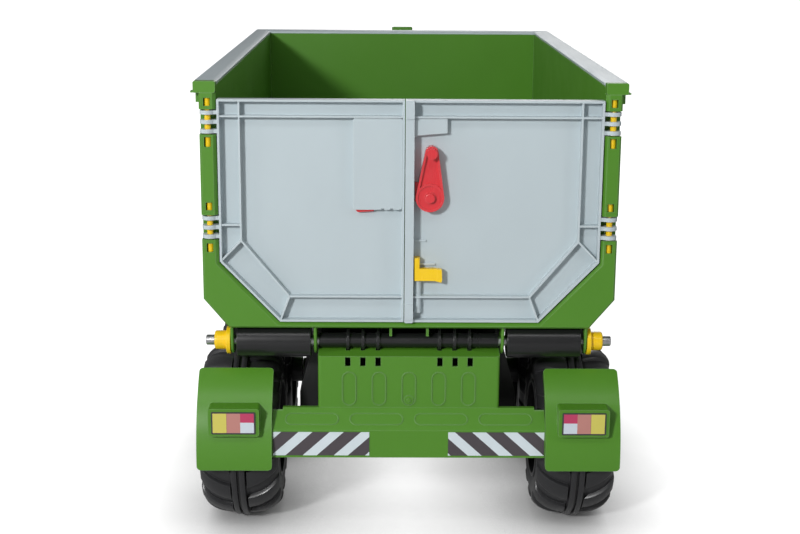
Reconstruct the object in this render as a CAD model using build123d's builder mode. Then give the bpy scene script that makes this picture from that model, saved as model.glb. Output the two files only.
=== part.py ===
from build123d import *
import os
from math import atan2, cos, degrees, radians, sin, sqrt

# Tipping trailer for a child's tractor, in millimetres.
# +Y is the way it is pulled, +X is its right side, +Z is up, and it stands on Z = 0.

os.makedirs("parts", exist_ok=True)

# ---- driving sizes -------------------------------------------------------------------

overall_length = 960.0
overall_width = 496.0
rim_height = 540.0

# tub
tub_length = 812.0
tub_half_width = 235.0
tub_depth = 282.0
tub_corner_x = 28.5
tub_corner_z = 34.0
wall = 4.0
rear_frame_depth = 18.3
rib_thickness = 5.0
flange_half_width = 240.0
flange_drop = 9.0
skirt_drop = 25.0
front_flange_depth = 22.0

# rear doors
door_half_width = 215.3
door_top_drop = 20.0
door_bottom_drop = 274.5
door_corner_x = 67.5
door_corner_z = 70.5
door_depth = 14.0
door_skin = 3.0
door_gap = 1.2
door_split_x = -6.2
split_gap = 0.8
ledge = 5.0

# door hinges
hinge_pin_radius = 3.5
hinge_pin_inset = 9.0
hinge_pin_depth = 6.0
hinge_clearance = 0.08
knuckle_height = 4.3
knuckle_pitch = 10.5
knuckle_radius = 8.6
hinge_drops = (45.2, 164.5)
hinge_slot_height = 28.0

# pivot at the rear underside
pivot_behind_face = 22.0
pivot_height = 237.5
rod_radius = 6.0
rod_length = 471.0
sleeve_radius = 19.5
pivot_tube_radius = 8.5
fit_clearance = 0.08

# wheels
tyre_radius = 106.5
tyre_width = 98.0
rear_axle_inset = 90.0
axle_spacing = 235.0
axle_radius = 6.0
rim_radius = 60.0

# undercarriage
housing_half_width = 105.0
housing_top = 225.0
bumper_bottom = 109.0
bumper_edge = 142.0
bumper_top = 163.0
bumper_inset = -22.0
sheet = 3.0
fender_inner_x = 157.5
fender_width = 86.5
fender_gap = 11.5
beam_half_width = 32.0
beam_bottom = 214.0
beam_top = 254.0
beam_front_inset = 700.0
drawbar_half_width = 22.0
drawbar_bottom = 220.0
beam_wall = 4.0
drawbar_top = beam_top - beam_wall
eye_bore_radius = 11.0
eye_radius = 24.0
lamp_face_inset = -36.0
lens_thickness = 1.0

# ---- places worked out from them -----------------------------------------------------

rear_face = -overall_length / 2 - lamp_face_inset      # rear faces of the posts and caps
tub_bottom = rim_height - tub_depth
floor_z = rim_height - door_bottom_drop - door_gap
tub_front = rear_face + tub_length
front_wall = tub_front - front_flange_depth
bay_half_width = door_half_width + door_gap
hinge_x = tub_half_width - hinge_pin_inset
hinge_y = rear_face + hinge_pin_depth
door_front = rear_face + door_depth
pivot_y = rear_face + pivot_behind_face
rear_axle_y = rear_face + rear_axle_inset
front_axle_y = rear_axle_y + axle_spacing
axle_y = {"rear": rear_axle_y, "front": front_axle_y}
axle_z = tyre_radius
wheel_x = overall_width / 2 - tyre_width / 2
hitch_y = overall_length / 2 - eye_radius
hitch_z = (drawbar_bottom + drawbar_top) / 2
sides = {"left": -1, "right": 1}


def across(y):
    """Sketch plane across the trailer at y: local axes are X and Z, extrude(-d) goes to +Y."""
    return Plane.XZ.offset(-y)


def along(x):
    """Sketch plane along the trailer at x: local axes are Y and Z, extrude(d) goes to +X."""
    return Plane.YZ.offset(x)


def level(z):
    """Sketch plane at height z: local axes are X and Y, extrude(d) goes up."""
    return Plane.XY.offset(z)


def trough(half_width, top, bottom, corner_x, corner_z, grow=0.0):
    """Corners of the trough outline, moved outward by grow everywhere but at its top."""
    slope = sqrt(corner_x**2 + corner_z**2)
    half = half_width + grow
    low = bottom - grow
    cut_x = corner_x - grow * ((slope - corner_x) / corner_z - 1)
    cut_z = corner_z - grow * ((slope - corner_z) / corner_x - 1)
    right = [(half - cut_x, low), (half, low + cut_z), (half, top)]
    return right + [(-x, z) for x, z in reversed(right)]


def bay(grow=0.0, top=rim_height + 20):
    """Clear section of the tub, which is also the pocket that the doors close into."""
    return trough(bay_half_width, top, floor_z, door_corner_x, door_corner_z, grow)


def frame(grow=0.0, top=rim_height - flange_drop, trim=0.0):
    """Outer outline of the tub's frames."""
    return trough(tub_half_width - trim, top, tub_bottom, tub_corner_x, tub_corner_z, grow)


def door():
    """Outline of both doors together."""
    bottom = rim_height - door_bottom_drop
    top = rim_height - door_top_drop
    return trough(door_half_width, top, bottom, door_corner_x, door_corner_z)


# ---- tub shell -----------------------------------------------------------------------

post_top = rim_height - 13.0
cap_depth = 12.0
frame_bevel = 2.0
pocket_bevel = 3.5
web = 3.0
hollow_top = rim_height - 200.0
window_width = 7.6
window_heights = {23.0: 9.0, 67.5: 11.0, 140.5: 9.0, 188.0: 10.0}
window_depth = hinge_pin_depth
skirt_start = rear_face + 15.5
rib_share = (0.25, 0.5, 0.75)
rib_trim = 2.0
sill_lip = 2.0
hook_x = 21.2
hook_bottom = 246.4

with BuildPart() as tub_shell:
    # walls and floor
    with BuildSketch(across(rear_face + cap_depth)):
        Polygon(*bay(grow=wall, top=rim_height - flange_drop))
        Polygon(*bay(), mode=Mode.SUBTRACT)
    extrude(amount=-(front_wall - rear_face - cap_depth))
    with BuildSketch(across(front_wall)):
        Polygon(*bay(grow=wall, top=rim_height - flange_drop))
    extrude(amount=-wall)
    # rear frame with a bevelled rear edge, hollow from the front at its lower corners
    with BuildSketch(across(rear_face)):
        Polygon(*frame(grow=-frame_bevel, top=post_top))
        Polygon(*bay(), mode=Mode.SUBTRACT)
    with BuildSketch(across(rear_face + frame_bevel)):
        Polygon(*frame(top=post_top))
        Polygon(*bay(), mode=Mode.SUBTRACT)
    loft()
    with BuildSketch(across(rear_face + frame_bevel)):
        Polygon(*frame(top=post_top))
        Polygon(*bay(), mode=Mode.SUBTRACT)
    extrude(amount=-(rear_frame_depth - frame_bevel))
    with BuildSketch(across(rear_face + cap_depth)):
        Polygon(*frame())
        Polygon(*bay(), mode=Mode.SUBTRACT)
    extrude(amount=-(rear_frame_depth - cap_depth))
    with BuildSketch(across(rear_face + web)):
        Polygon(*frame(grow=-web, top=hollow_top))
        Polygon(*bay(grow=wall), mode=Mode.SUBTRACT)
    extrude(amount=-(rear_frame_depth - web), mode=Mode.SUBTRACT)
    # bevel round the door pocket and the ledge that the doors close against
    with BuildSketch(across(rear_face)):
        Polygon(*bay(grow=pocket_bevel))
    with BuildSketch(across(rear_face + pocket_bevel)):
        Polygon(*bay())
    loft(mode=Mode.SUBTRACT)
    with BuildSketch(across(door_front + 0.3)):
        Polygon(*bay(grow=1, top=rim_height - skirt_drop))
        Polygon(*bay(grow=-ledge), mode=Mode.SUBTRACT)
    extrude(amount=-wall)
    # ribs round the outside
    for share in rib_share:
        with BuildSketch(across(rear_face + share * (front_wall - rear_face))):
            Polygon(*frame(trim=rib_trim))
            Polygon(*bay(grow=wall / 2), mode=Mode.SUBTRACT)
        extrude(amount=-rib_thickness)
    with BuildSketch(across(front_wall + wall - rib_thickness)):
        Polygon(*frame(trim=rib_trim))
        Polygon(*bay(grow=wall / 2), mode=Mode.SUBTRACT)
    extrude(amount=-rib_thickness)
    # flange under the rim strips, and its skirt
    with BuildSketch(level(rim_height - flange_drop)):
        with Locations((0, (rear_face + cap_depth + tub_front) / 2)):
            Rectangle(2 * flange_half_width, tub_front - rear_face - cap_depth)
        with Locations((0, (rear_face + front_wall) / 2)):
            Rectangle(2 * bay_half_width, front_wall - rear_face, mode=Mode.SUBTRACT)
    extrude(amount=wall)
    with BuildSketch(level(rim_height - skirt_drop)):
        with Locations((0, (skirt_start + tub_front) / 2)):
            Rectangle(2 * flange_half_width, tub_front - skirt_start)
        with Locations((0, (skirt_start + tub_front - wall) / 2)):
            Rectangle(2 * (flange_half_width - wall), tub_front - wall - skirt_start, mode=Mode.SUBTRACT)
    extrude(amount=skirt_drop - flange_drop)
    # two stiffening ribs down the outside of the front wall
    for rib_x in (-90.0, 90.0):
        with BuildSketch(across(front_wall)):
            with Locations((rib_x, (floor_z + rim_height - flange_drop) / 2)):
                Rectangle(rib_thickness, rim_height - flange_drop - floor_z)
        extrude(amount=-front_flange_depth)
    # two hooks under the rear frame, over the pivot tube
    for side in sides.values():
        with BuildSketch(across(rear_face + 8)):
            with Locations((side * hook_x, (hook_bottom + tub_bottom + sill_lip) / 2)):
                Rectangle(web, tub_bottom + sill_lip - hook_bottom)
        extrude(amount=-(rear_frame_depth - 8))
    # hinge slots, pin bores and the windows that show the pins
    for side in sides.values():
        for drop in hinge_drops:
            with BuildSketch(along(side * (tub_half_width + bay_half_width) / 2)):
                with Locations((rear_face, rim_height - drop)):
                    Rectangle(2 * (hinge_pin_depth + knuckle_radius + door_gap / 2), hinge_slot_height)
            extrude(amount=tub_half_width - bay_half_width, both=True, mode=Mode.SUBTRACT)
        with BuildSketch(level(rim_height - 200)):
            with Locations((side * hinge_x, hinge_y)):
                Circle(hinge_pin_radius)
        extrude(amount=200, mode=Mode.SUBTRACT)
        for drop, height in window_heights.items():
            with BuildSketch(across(rear_face - 1)):
                with Locations((side * hinge_x, rim_height - drop)):
                    Rectangle(window_width, height)
            extrude(amount=-(window_depth + 1), mode=Mode.SUBTRACT)
tub_shell.part.label = "tub_shell"
export_step(tub_shell.part, "parts/tub_shell.step")

# ---- rim strips and corner caps ------------------------------------------------------

strip_outer = 241.0
strip_inner = bay_half_width + 0.5
strip_lip = 8.0
strip_bevel = 6.0
strip_rear = rear_face + cap_depth
strip_front = tub_front + 1.0
under_strip = rim_height - flange_drop + wall

with BuildPart() as rim_strip_right:
    with BuildSketch(across(strip_rear)):
        Polygon(
            (strip_inner, under_strip),
            (flange_half_width, under_strip),
            (flange_half_width, rim_height - strip_lip),
            (strip_outer, rim_height - strip_lip),
            (strip_outer, rim_height - 1),
            (strip_outer - 1, rim_height),
            (strip_inner + strip_bevel, rim_height),
            (strip_inner, rim_height - 2.5),
        )
    extrude(amount=-(strip_front - strip_rear))
    # mitre against the front strip
    with BuildSketch(level(rim_height - strip_lip - 1)):
        Polygon(
            (strip_inner - 1, front_wall - 1),
            (strip_outer + 1, front_wall + strip_outer - strip_inner + 1),
            (strip_inner - 1, front_wall + strip_outer),
        )
    extrude(amount=strip_lip + 2, mode=Mode.SUBTRACT)
rim_strip_right.part.label = "rim_strip_right"
export_step(rim_strip_right.part, "parts/rim_strip_right.step")

with BuildPart() as rim_strip_left:
    mirror(rim_strip_right.part, about=Plane.YZ)
rim_strip_left.part.label = "rim_strip_left"
export_step(rim_strip_left.part, "parts/rim_strip_left.step")

with BuildPart() as rim_strip_front:
    with BuildSketch(along(-strip_outer)):
        Polygon(
            (front_wall, under_strip),
            (tub_front, under_strip),
            (tub_front, rim_height - strip_lip),
            (strip_front, rim_height - strip_lip),
            (strip_front, rim_height - 1),
            (strip_front - 1, rim_height),
            (front_wall + strip_bevel, rim_height),
            (front_wall, rim_height - 2.5),
        )
    extrude(amount=2 * strip_outer)
    for side in sides.values():
        with BuildSketch(level(rim_height - strip_lip - 1)):
            Polygon(
                (side * (strip_inner - 2), front_wall - 2),
                (side * (strip_outer + 3), front_wall + strip_outer - strip_inner + 3),
                (side * (strip_outer + 3), front_wall - 2),
            )
        extrude(amount=strip_lip + 2, mode=Mode.SUBTRACT)
rim_strip_front.part.label = "rim_strip_front"
export_step(rim_strip_front.part, "parts/rim_strip_front.step")

cap_fin_x = 244.0
cap_fin_height = 2.0
cap_fin_drop = 13.0

with BuildPart() as corner_cap_right:
    with BuildSketch(across(rear_face)):
        with Locations(((bay_half_width + strip_outer) / 2, rim_height - cap_fin_drop / 2)):
            RectangleRounded(strip_outer - bay_half_width, cap_fin_drop, 2.0)
    extrude(amount=-cap_depth)
    # small ledge that stands out at the cap's lower outer edge
    with BuildSketch(across(rear_face + frame_bevel)):
        Polygon(
            (strip_outer - 4, rim_height - cap_fin_drop + cap_fin_height),
            (cap_fin_x, rim_height - cap_fin_drop + cap_fin_height),
            (cap_fin_x, rim_height - cap_fin_drop),
            (strip_outer - 4, rim_height - cap_fin_drop),
        )
    extrude(amount=-(cap_depth - frame_bevel))
corner_cap_right.part.label = "corner_cap_right"
export_step(corner_cap_right.part, "parts/corner_cap_right.step")

with BuildPart() as corner_cap_left:
    mirror(corner_cap_right.part, about=Plane.YZ)
corner_cap_left.part.label = "corner_cap_left"
export_step(corner_cap_left.part, "parts/corner_cap_left.step")

# ---- hinge pins ----------------------------------------------------------------------

hinge_pin_top = rim_height - cap_fin_drop
hinge_pin_bottom = rim_height - 196.0

for side_name, side in sides.items():
    with BuildPart() as hinge_pin:
        with BuildSketch(level(hinge_pin_bottom)):
            with Locations((side * hinge_x, hinge_y)):
                Circle(hinge_pin_radius)
        extrude(amount=hinge_pin_top - hinge_pin_bottom)
    hinge_pin.part.label = f"hinge_pin_{side_name}"
    export_step(hinge_pin.part, f"parts/hinge_pin_{side_name}.step")

# ---- doors ---------------------------------------------------------------------------

flange_wall = 2.5
rib_ring_half_width = 191.0
rib_ring_top_drop = 39.0
rib_ring_bottom_drop = 245.0
rib_ring_corner_x = 54.0
rib_ring_corner_z = 65.0
rib_wall = 2.0
rib_rear = rear_face + 1.0
side_rib_drop = 162.0
strip_right_x = 4.0
strip_rise = 4.0
skin_rear = door_front - door_skin


def rib_ring(grow=0.0):
    """Outline of the stiffening rib that follows the doors' edge."""
    return trough(
        rib_ring_half_width,
        rim_height - rib_ring_top_drop + grow,
        rim_height - rib_ring_bottom_drop,
        rib_ring_corner_x,
        rib_ring_corner_z,
        grow,
    )


def door_half(low_x, high_x):
    """Both doors' common tray, cut to one door between low_x and high_x, with its knuckles."""
    side = -1 if high_x < 0 else 1
    top = rim_height - door_top_drop
    bottom = rim_height - door_bottom_drop
    ring_top = rim_height - rib_ring_top_drop
    ring_knee = rim_height - rib_ring_bottom_drop + rib_ring_corner_z
    door_knee = bottom + door_corner_z
    window = (low_x + high_x) / 2, (top + bottom) / 2
    with BuildPart() as tray:
        # skin
        with BuildSketch(across(skin_rear)):
            Polygon(*door())
            with Locations(window):
                Rectangle(high_x - low_x, 2 * tub_depth, mode=Mode.INTERSECT)
        extrude(amount=-door_skin)
        # flange round the edge
        with BuildSketch(across(rear_face)):
            Polygon(*door())
            with Locations(window):
                Rectangle(high_x - low_x, 2 * tub_depth, mode=Mode.INTERSECT)
            offset(amount=-flange_wall, kind=Kind.INTERSECTION, mode=Mode.SUBTRACT)
        extrude(amount=-(door_depth - door_skin))
        # rib ring, and the short ribs that tie it to the flange
        with BuildSketch(across(rib_rear)):
            Polygon(*rib_ring(grow=rib_wall / 2))
            Polygon(*rib_ring(grow=-rib_wall / 2), mode=Mode.SUBTRACT)
            with Locations(window):
                Rectangle(high_x - low_x, 2 * tub_depth, mode=Mode.INTERSECT)
        extrude(amount=-(skin_rear - rib_rear))
        with BuildSketch(across(rib_rear)):
            for tie_z in (ring_top, rim_height - side_rib_drop):
                with Locations((side * (rib_ring_half_width + door_half_width) / 2, tie_z)):
                    Rectangle(door_half_width - rib_ring_half_width, rib_wall)
            with Locations((side * rib_ring_half_width, (top + ring_top) / 2)):
                Rectangle(rib_wall, top - ring_top)
        extrude(amount=-(skin_rear - rib_rear))
        corners = (
            ((rib_ring_half_width, ring_knee), (door_half_width - 1, door_knee)),
            (
                (rib_ring_half_width - rib_ring_corner_x, rim_height - rib_ring_bottom_drop),
                (door_half_width - door_corner_x, bottom + 1),
            ),
        )
        for (x0, z0), (x1, z1) in corners:
            with BuildSketch(across(rib_rear)):
                with Locations((side * (x0 + x1) / 2, (z0 + z1) / 2)):
                    Rectangle(
                        sqrt((x1 - x0) ** 2 + (z1 - z0) ** 2),
                        rib_wall,
                        rotation=degrees(atan2(z1 - z0, side * (x1 - x0))),
                    )
            extrude(amount=-(skin_rear - rib_rear))
        # three knuckles at each hinge
        for drop in hinge_drops:
            for step in (-1, 0, 1):
                with BuildSketch(level(rim_height - drop + step * knuckle_pitch - knuckle_height / 2)):
                    with Locations((side * hinge_x, hinge_y)):
                        Circle(knuckle_radius)
                    with Locations((side * (hinge_x + door_half_width - flange_wall) / 2, hinge_y)):
                        Rectangle(hinge_x - door_half_width + flange_wall, 2 * hinge_pin_depth - 2)
                    with Locations((side * hinge_x, hinge_y)):
                        Circle(hinge_pin_radius + hinge_clearance, mode=Mode.SUBTRACT)
                extrude(amount=knuckle_height)
    return tray.part


with BuildPart() as door_left:
    add(door_half(-door_half_width, door_split_x - split_gap / 2))
door_left.part.label = "door_left"
export_step(door_left.part, "parts/door_left.step")

bolt_x = 9.0
bolt_radius = 2.6
channel_radius = 4.6
channel_top = rim_height - 226.0
channel_bottom = rim_height - 264.0
bolt_y = skin_rear - 3.6
lever_x = 22.1
lever_z = rim_height - 129.6
lever_post_radius = 4.0
grip_height = 18.0
grip_drops = (31.0, 261.0)

with BuildPart() as door_right:
    add(door_half(door_split_x + split_gap / 2, door_half_width))
    # centre strip over its full height, with a gripping block near each end
    strip_mid = (door_split_x + split_gap / 2 + strip_right_x) / 2
    strip_width = strip_right_x - door_split_x - split_gap / 2
    strip_height = door_bottom_drop - door_top_drop
    with BuildSketch(across(rear_face - strip_rise)):
        with Locations((strip_mid, rim_height - (door_bottom_drop + door_top_drop) / 2)):
            RectangleRounded(strip_width, strip_height, 1.5)
    extrude(amount=-(strip_rise + door_depth - door_skin))
    for drop in grip_drops:
        with BuildSketch(across(rear_face - strip_rise - 2)):
            with Locations((strip_mid, rim_height - drop)):
                RectangleRounded(strip_width, grip_height, 1.2)
        extrude(amount=-3)
    # stop ribs above the bolt and over its arm
    for rib_x, rib_drop, rib_length in ((11.0, 180.5, 14.0), (20.5, 208.0, 17.0)):
        with BuildSketch(across(skin_rear - 2.5)):
            with Locations((rib_x, rim_height - rib_drop)):
                Rectangle(rib_length, rib_wall)
        extrude(amount=-2.5)
    # half-round channel that the bolt slides in
    with BuildSketch(level(channel_bottom)):
        with Locations((bolt_x, bolt_y)):
            Circle(channel_radius)
        with Locations((bolt_x, (bolt_y + skin_rear) / 2)):
            Rectangle(2 * channel_radius, skin_rear - bolt_y)
    extrude(amount=channel_top - channel_bottom)
    with BuildSketch(level(channel_bottom)):
        with Locations((bolt_x, bolt_y)):
            Circle(bolt_radius + 0.4)
    extrude(amount=channel_top - channel_bottom, mode=Mode.SUBTRACT)
    # post that the latch lever turns on
    with BuildSketch(across(rear_face - 3)):
        with Locations((lever_x, lever_z)):
            Circle(lever_post_radius)
    extrude(amount=-(skin_rear - rear_face + 3))
door_right.part.label = "door_right"
export_step(door_right.part, "parts/door_right.step")

# ---- latch and bolt on the doors -----------------------------------------------------

cover_rear = rear_face + 3.0
cover_wall = 2.0
cover_top = rim_height - 40.4
cover_left_low_x = -64.4
cover_left_high_x = door_split_x - split_gap / 2 - flange_wall - 0.1
cover_left_bottom = rim_height - 144.0
catch_low_x = -61.5
catch_high_x = -41.0
catch_bottom = rim_height - 147.5
catch_top = rim_height - 122.0

with BuildPart() as latch_cover_left:
    with BuildSketch(across(cover_rear)):
        with Locations(((cover_left_low_x + cover_left_high_x) / 2, (cover_left_bottom + cover_top) / 2)):
            RectangleRounded(cover_left_high_x - cover_left_low_x, cover_top - cover_left_bottom, 3.0)
    extrude(amount=-(skin_rear - cover_rear))
    with BuildSketch(across(cover_rear + cover_wall)):
        with Locations(((cover_left_low_x + cover_left_high_x) / 2, (cover_left_bottom + cover_top) / 2)):
            RectangleRounded(
                cover_left_high_x - cover_left_low_x - 2 * cover_wall,
                cover_top - cover_left_bottom - 2 * cover_wall,
                1.5,
            )
        # mouth at the lower edge that the catch reaches through
        with Locations(((catch_low_x + catch_high_x) / 2, cover_left_bottom)):
            Rectangle(catch_high_x - catch_low_x + 1, 6 * cover_wall)
    extrude(amount=-(skin_rear - cover_rear), mode=Mode.SUBTRACT)
    # two shallow nicks along the lower edge
    for nick_x in (-31.0, -21.0):
        with BuildSketch(across(cover_rear)):
            with Locations((nick_x, cover_left_bottom)):
                Rectangle(3.0, 3.0)
        extrude(amount=-(skin_rear - cover_rear), mode=Mode.SUBTRACT)
latch_cover_left.part.label = "latch_cover_left"
export_step(latch_cover_left.part, "parts/latch_cover_left.step")

with BuildPart() as latch_catch:
    with BuildSketch(across(skin_rear - 5.0)):
        Polygon(
            (catch_low_x, catch_bottom + 2.5),
            (catch_low_x + 2.5, catch_bottom),
            (catch_high_x, catch_bottom + 1.2),
            (catch_high_x, catch_top),
            (catch_low_x, catch_top),
        )
    extrude(amount=-5.0)
latch_catch.part.label = "latch_catch"
export_step(latch_catch.part, "parts/latch_catch.step")

cover_right_low_x = strip_right_x + 0.3
cover_right_high_x = 41.0

with BuildPart() as latch_cover_right:
    with BuildSketch(across(cover_rear)):
        Polygon(
            (cover_right_low_x, cover_top),
            (cover_right_high_x, cover_top),
            (cover_right_high_x, rim_height - 57.0),
            (cover_right_low_x + 3, rim_height - 60.0),
            (cover_right_low_x, rim_height - 62.5),
        )
    extrude(amount=-(skin_rear - cover_rear))
    with BuildSketch(across(cover_rear + cover_wall)):
        Polygon(
            (cover_right_low_x + cover_wall, cover_top - cover_wall),
            (cover_right_high_x - cover_wall, cover_top - cover_wall),
            (cover_right_high_x - cover_wall, rim_height - 55.0),
            (cover_right_low_x + cover_wall, rim_height - 57.5),
        )
    extrude(amount=-(skin_rear - cover_rear), mode=Mode.SUBTRACT)
latch_cover_right.part.label = "latch_cover_right"
export_step(latch_cover_right.part, "parts/latch_cover_right.step")

lever_base_front = skin_rear - 0.6
lever_boss_radius = 16.0
lever_knob_x = 23.7
lever_knob_z = rim_height - 78.6
lever_knob_radius = 6.0
lever_tip_radius = 7.4
lever_edge = 2.2
lever_rear = rear_face - 2.0
tongue_half_height = 11.0

with BuildPart() as latch_lever:
    # tapered arm round the boss and the knob
    with BuildSketch(across(lever_rear)):
        with Locations((lever_x, lever_z)):
            Circle(lever_boss_radius)
        with Locations((lever_knob_x, lever_knob_z)):
            Circle(lever_tip_radius)
        make_hull()
    extrude(amount=-(lever_base_front - lever_rear))
    # recess that leaves a raised edge along the arm
    with BuildSketch(across(lever_rear)):
        with Locations((lever_x, lever_z)):
            Circle(lever_boss_radius - lever_edge)
        with Locations((lever_knob_x, lever_knob_z)):
            Circle(lever_tip_radius - lever_edge)
        make_hull()
        with Locations((lever_x, lever_z)):
            Circle(lever_boss_radius, mode=Mode.SUBTRACT)
    extrude(amount=-3.5, mode=Mode.SUBTRACT)
    # ring groove round the pivot
    with BuildSketch(across(lever_rear)):
        with Locations((lever_x, lever_z)):
            Circle(lever_boss_radius - lever_edge)
            Circle(lever_post_radius + 2.6, mode=Mode.SUBTRACT)
    extrude(amount=-1.6, mode=Mode.SUBTRACT)
    # knob that the hand pushes
    with BuildSketch(across(rear_face - 10)):
        with Locations((lever_knob_x, lever_knob_z)):
            Circle(lever_knob_radius)
    extrude(amount=-(lever_base_front - rear_face + 10))
    # tongue beside the centre strip
    with BuildSketch(across(lever_base_front - 4)):
        with Locations((lever_x - lever_boss_radius + 2.5, lever_z + tongue_half_height / 2)):
            Rectangle(7.0, 2 * tongue_half_height)
    extrude(amount=-4)
    with BuildSketch(across(rear_face - 12)):
        with Locations((lever_x, lever_z)):
            Circle(lever_post_radius + hinge_clearance)
    extrude(amount=-(lever_base_front - rear_face + 12), mode=Mode.SUBTRACT)
latch_lever.part.label = "latch_lever"
export_step(latch_lever.part, "parts/latch_lever.step")

with BuildPart() as lever_cap:
    with BuildSketch(across(rear_face - 5.2)):
        with Locations((lever_x, lever_z)):
            Circle(lever_post_radius + 1.5)
    extrude(amount=-2.2)
    fillet(lever_cap.faces().sort_by(Axis.Y)[0].edges(), 0.8)
lever_cap.part.label = "lever_cap"
export_step(lever_cap.part, "parts/lever_cap.step")

bolt_top = rim_height - 199.0
bolt_arm_top = rim_height - 212.5
bolt_arm_bottom = rim_height - 225.5
bolt_arm_end = 37.0
bolt_arm_rear = rear_face - 1.0
bolt_arm_front = rear_face + 7.0

with BuildPart() as slide_bolt:
    with BuildSketch(level(channel_bottom + 2)):
        with Locations((bolt_x, bolt_y)):
            Circle(bolt_radius)
    extrude(amount=bolt_top - channel_bottom - 6)
    with BuildSketch(level(channel_top + 0.5)):
        with Locations((bolt_x - 0.9, (bolt_arm_rear + skin_rear - 0.6) / 2)):
            RectangleRounded(6.8, skin_rear - 0.6 - bolt_arm_rear, 1.6)
    extrude(amount=bolt_top - channel_top - 0.5)
    # arm with a flared, notched end
    with BuildSketch(across(bolt_arm_rear)):
        Polygon(
            (bolt_x - 2, bolt_arm_bottom),
            (bolt_arm_end - 9, bolt_arm_bottom),
            (bolt_arm_end - 1, bolt_arm_bottom - 2),
            (bolt_arm_end, bolt_arm_bottom + 1),
            (bolt_arm_end - 0.5, bolt_arm_top),
            (bolt_arm_end - 8, bolt_arm_top + 1),
            (bolt_x - 2, bolt_arm_top + 1),
        )
    extrude(amount=-(bolt_arm_front - bolt_arm_rear))
slide_bolt.part.label = "slide_bolt"
export_step(slide_bolt.part, "parts/slide_bolt.step")

# ---- pivot: brackets, rod, sleeves, hubs, tube ---------------------------------------

bracket_inner_x = 106.5
bracket_outer_x = 202.5
bracket_plate = 3.5
bracket_front_ahead = 48.0
bracket_rear_behind = 17.0
bracket_eye_radius = 15.0
sleeve_gap = 3.5
hub_flange_radius = 16.0
hub_flange_width = 5.0
hub_body_radius = 11.0
hub_body_width = 14.0
hub_gap = 0.5
tube_fin_radius = 13.0
tube_fin_width = 3.2
tube_fin_places = (35.7, 53.2, 70.6)
tube_half_length = housing_half_width - 1.0
bore = rod_radius + fit_clearance

for side_name, side in sides.items():
    with BuildPart() as pivot_bracket:
        for plate_x in (bracket_inner_x, bracket_outer_x):
            plate_start = side * plate_x if side > 0 else -plate_x - bracket_plate
            with BuildSketch(along(plate_start)):
                Polygon(
                    (pivot_y - bracket_rear_behind, tub_bottom),
                    (pivot_y - bracket_eye_radius, pivot_height),
                    (pivot_y + bracket_eye_radius, pivot_height),
                    (pivot_y + bracket_front_ahead, tub_bottom),
                )
                with Locations((pivot_y, pivot_height)):
                    Circle(bracket_eye_radius)
                    Circle(bore, mode=Mode.SUBTRACT)
            extrude(amount=bracket_plate)
        # flange that is screwed to the floor, ahead of the sleeve
        base_low_y = pivot_y + sleeve_radius + sleeve_gap
        base_high_y = pivot_y + bracket_front_ahead
        base_mid_x = side * (bracket_inner_x + bracket_outer_x + bracket_plate) / 2
        with BuildSketch(level(tub_bottom - sheet)):
            with Locations((base_mid_x, (base_low_y + base_high_y) / 2)):
                Rectangle(bracket_outer_x + bracket_plate - bracket_inner_x, base_high_y - base_low_y)
        extrude(amount=floor_z - wall - tub_bottom + sheet)
    pivot_bracket.part.label = f"pivot_bracket_{side_name}"
    export_step(pivot_bracket.part, f"parts/pivot_bracket_{side_name}.step")

    with BuildPart() as spacer_sleeve:
        sleeve_low_x = bracket_inner_x + bracket_plate + sleeve_gap
        sleeve_length = bracket_outer_x - sleeve_gap - sleeve_low_x
        with BuildSketch(along(sleeve_low_x if side > 0 else -sleeve_low_x - sleeve_length)):
            with Locations((pivot_y, pivot_height)):
                Circle(sleeve_radius)
                Circle(bore, mode=Mode.SUBTRACT)
        extrude(amount=sleeve_length)
        chamfer(spacer_sleeve.edges().filter_by(GeomType.CIRCLE).sort_by(SortBy.RADIUS)[-2:], 0.8)
    spacer_sleeve.part.label = f"spacer_sleeve_{side_name}"
    export_step(spacer_sleeve.part, f"parts/spacer_sleeve_{side_name}.step")

    with BuildPart() as pivot_hub:
        hub_low_x = bracket_outer_x + bracket_plate + hub_gap
        with BuildSketch(along(side * hub_low_x)):
            with Locations((pivot_y, pivot_height)):
                Circle(hub_flange_radius)
        extrude(amount=side * hub_flange_width)
        with BuildSketch(along(side * (hub_low_x + hub_flange_width))):
            with Locations((pivot_y, pivot_height)):
                Circle(hub_body_radius)
        extrude(amount=side * hub_body_width)
        chamfer(pivot_hub.faces().sort_by(Axis.X)[-1 if side > 0 else 0].edges(), 1.5)
        with BuildSketch(along(side * (hub_low_x - 1))):
            with Locations((pivot_y, pivot_height)):
                Circle(bore)
        extrude(amount=side * (hub_flange_width + hub_body_width + 2), mode=Mode.SUBTRACT)
    pivot_hub.part.label = f"pivot_hub_{side_name}"
    export_step(pivot_hub.part, f"parts/pivot_hub_{side_name}.step")

with BuildPart() as pivot_rod:
    with BuildSketch(along(-rod_length / 2)):
        with Locations((pivot_y, pivot_height)):
            Circle(rod_radius)
    extrude(amount=rod_length)
    chamfer(pivot_rod.edges().filter_by(GeomType.CIRCLE), 1.0)
pivot_rod.part.label = "pivot_rod"
export_step(pivot_rod.part, "parts/pivot_rod.step")

with BuildPart() as pivot_tube:
    with BuildSketch(along(-tube_half_length)):
        with Locations((pivot_y, pivot_height)):
            Circle(pivot_tube_radius)
            Circle(bore, mode=Mode.SUBTRACT)
    extrude(amount=2 * tube_half_length)
    for fin_x in tube_fin_places:
        for side in sides.values():
            with BuildSketch(along(side * fin_x - tube_fin_width / 2)):
                with Locations((pivot_y, pivot_height)):
                    Circle(tube_fin_radius)
                    Circle(pivot_tube_radius - 1, mode=Mode.SUBTRACT)
            extrude(amount=tube_fin_width)
pivot_tube.part.label = "pivot_tube"
export_step(pivot_tube.part, "parts/pivot_tube.step")

# ---- rear housing, bumper, stripe panels ---------------------------------------------

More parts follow.
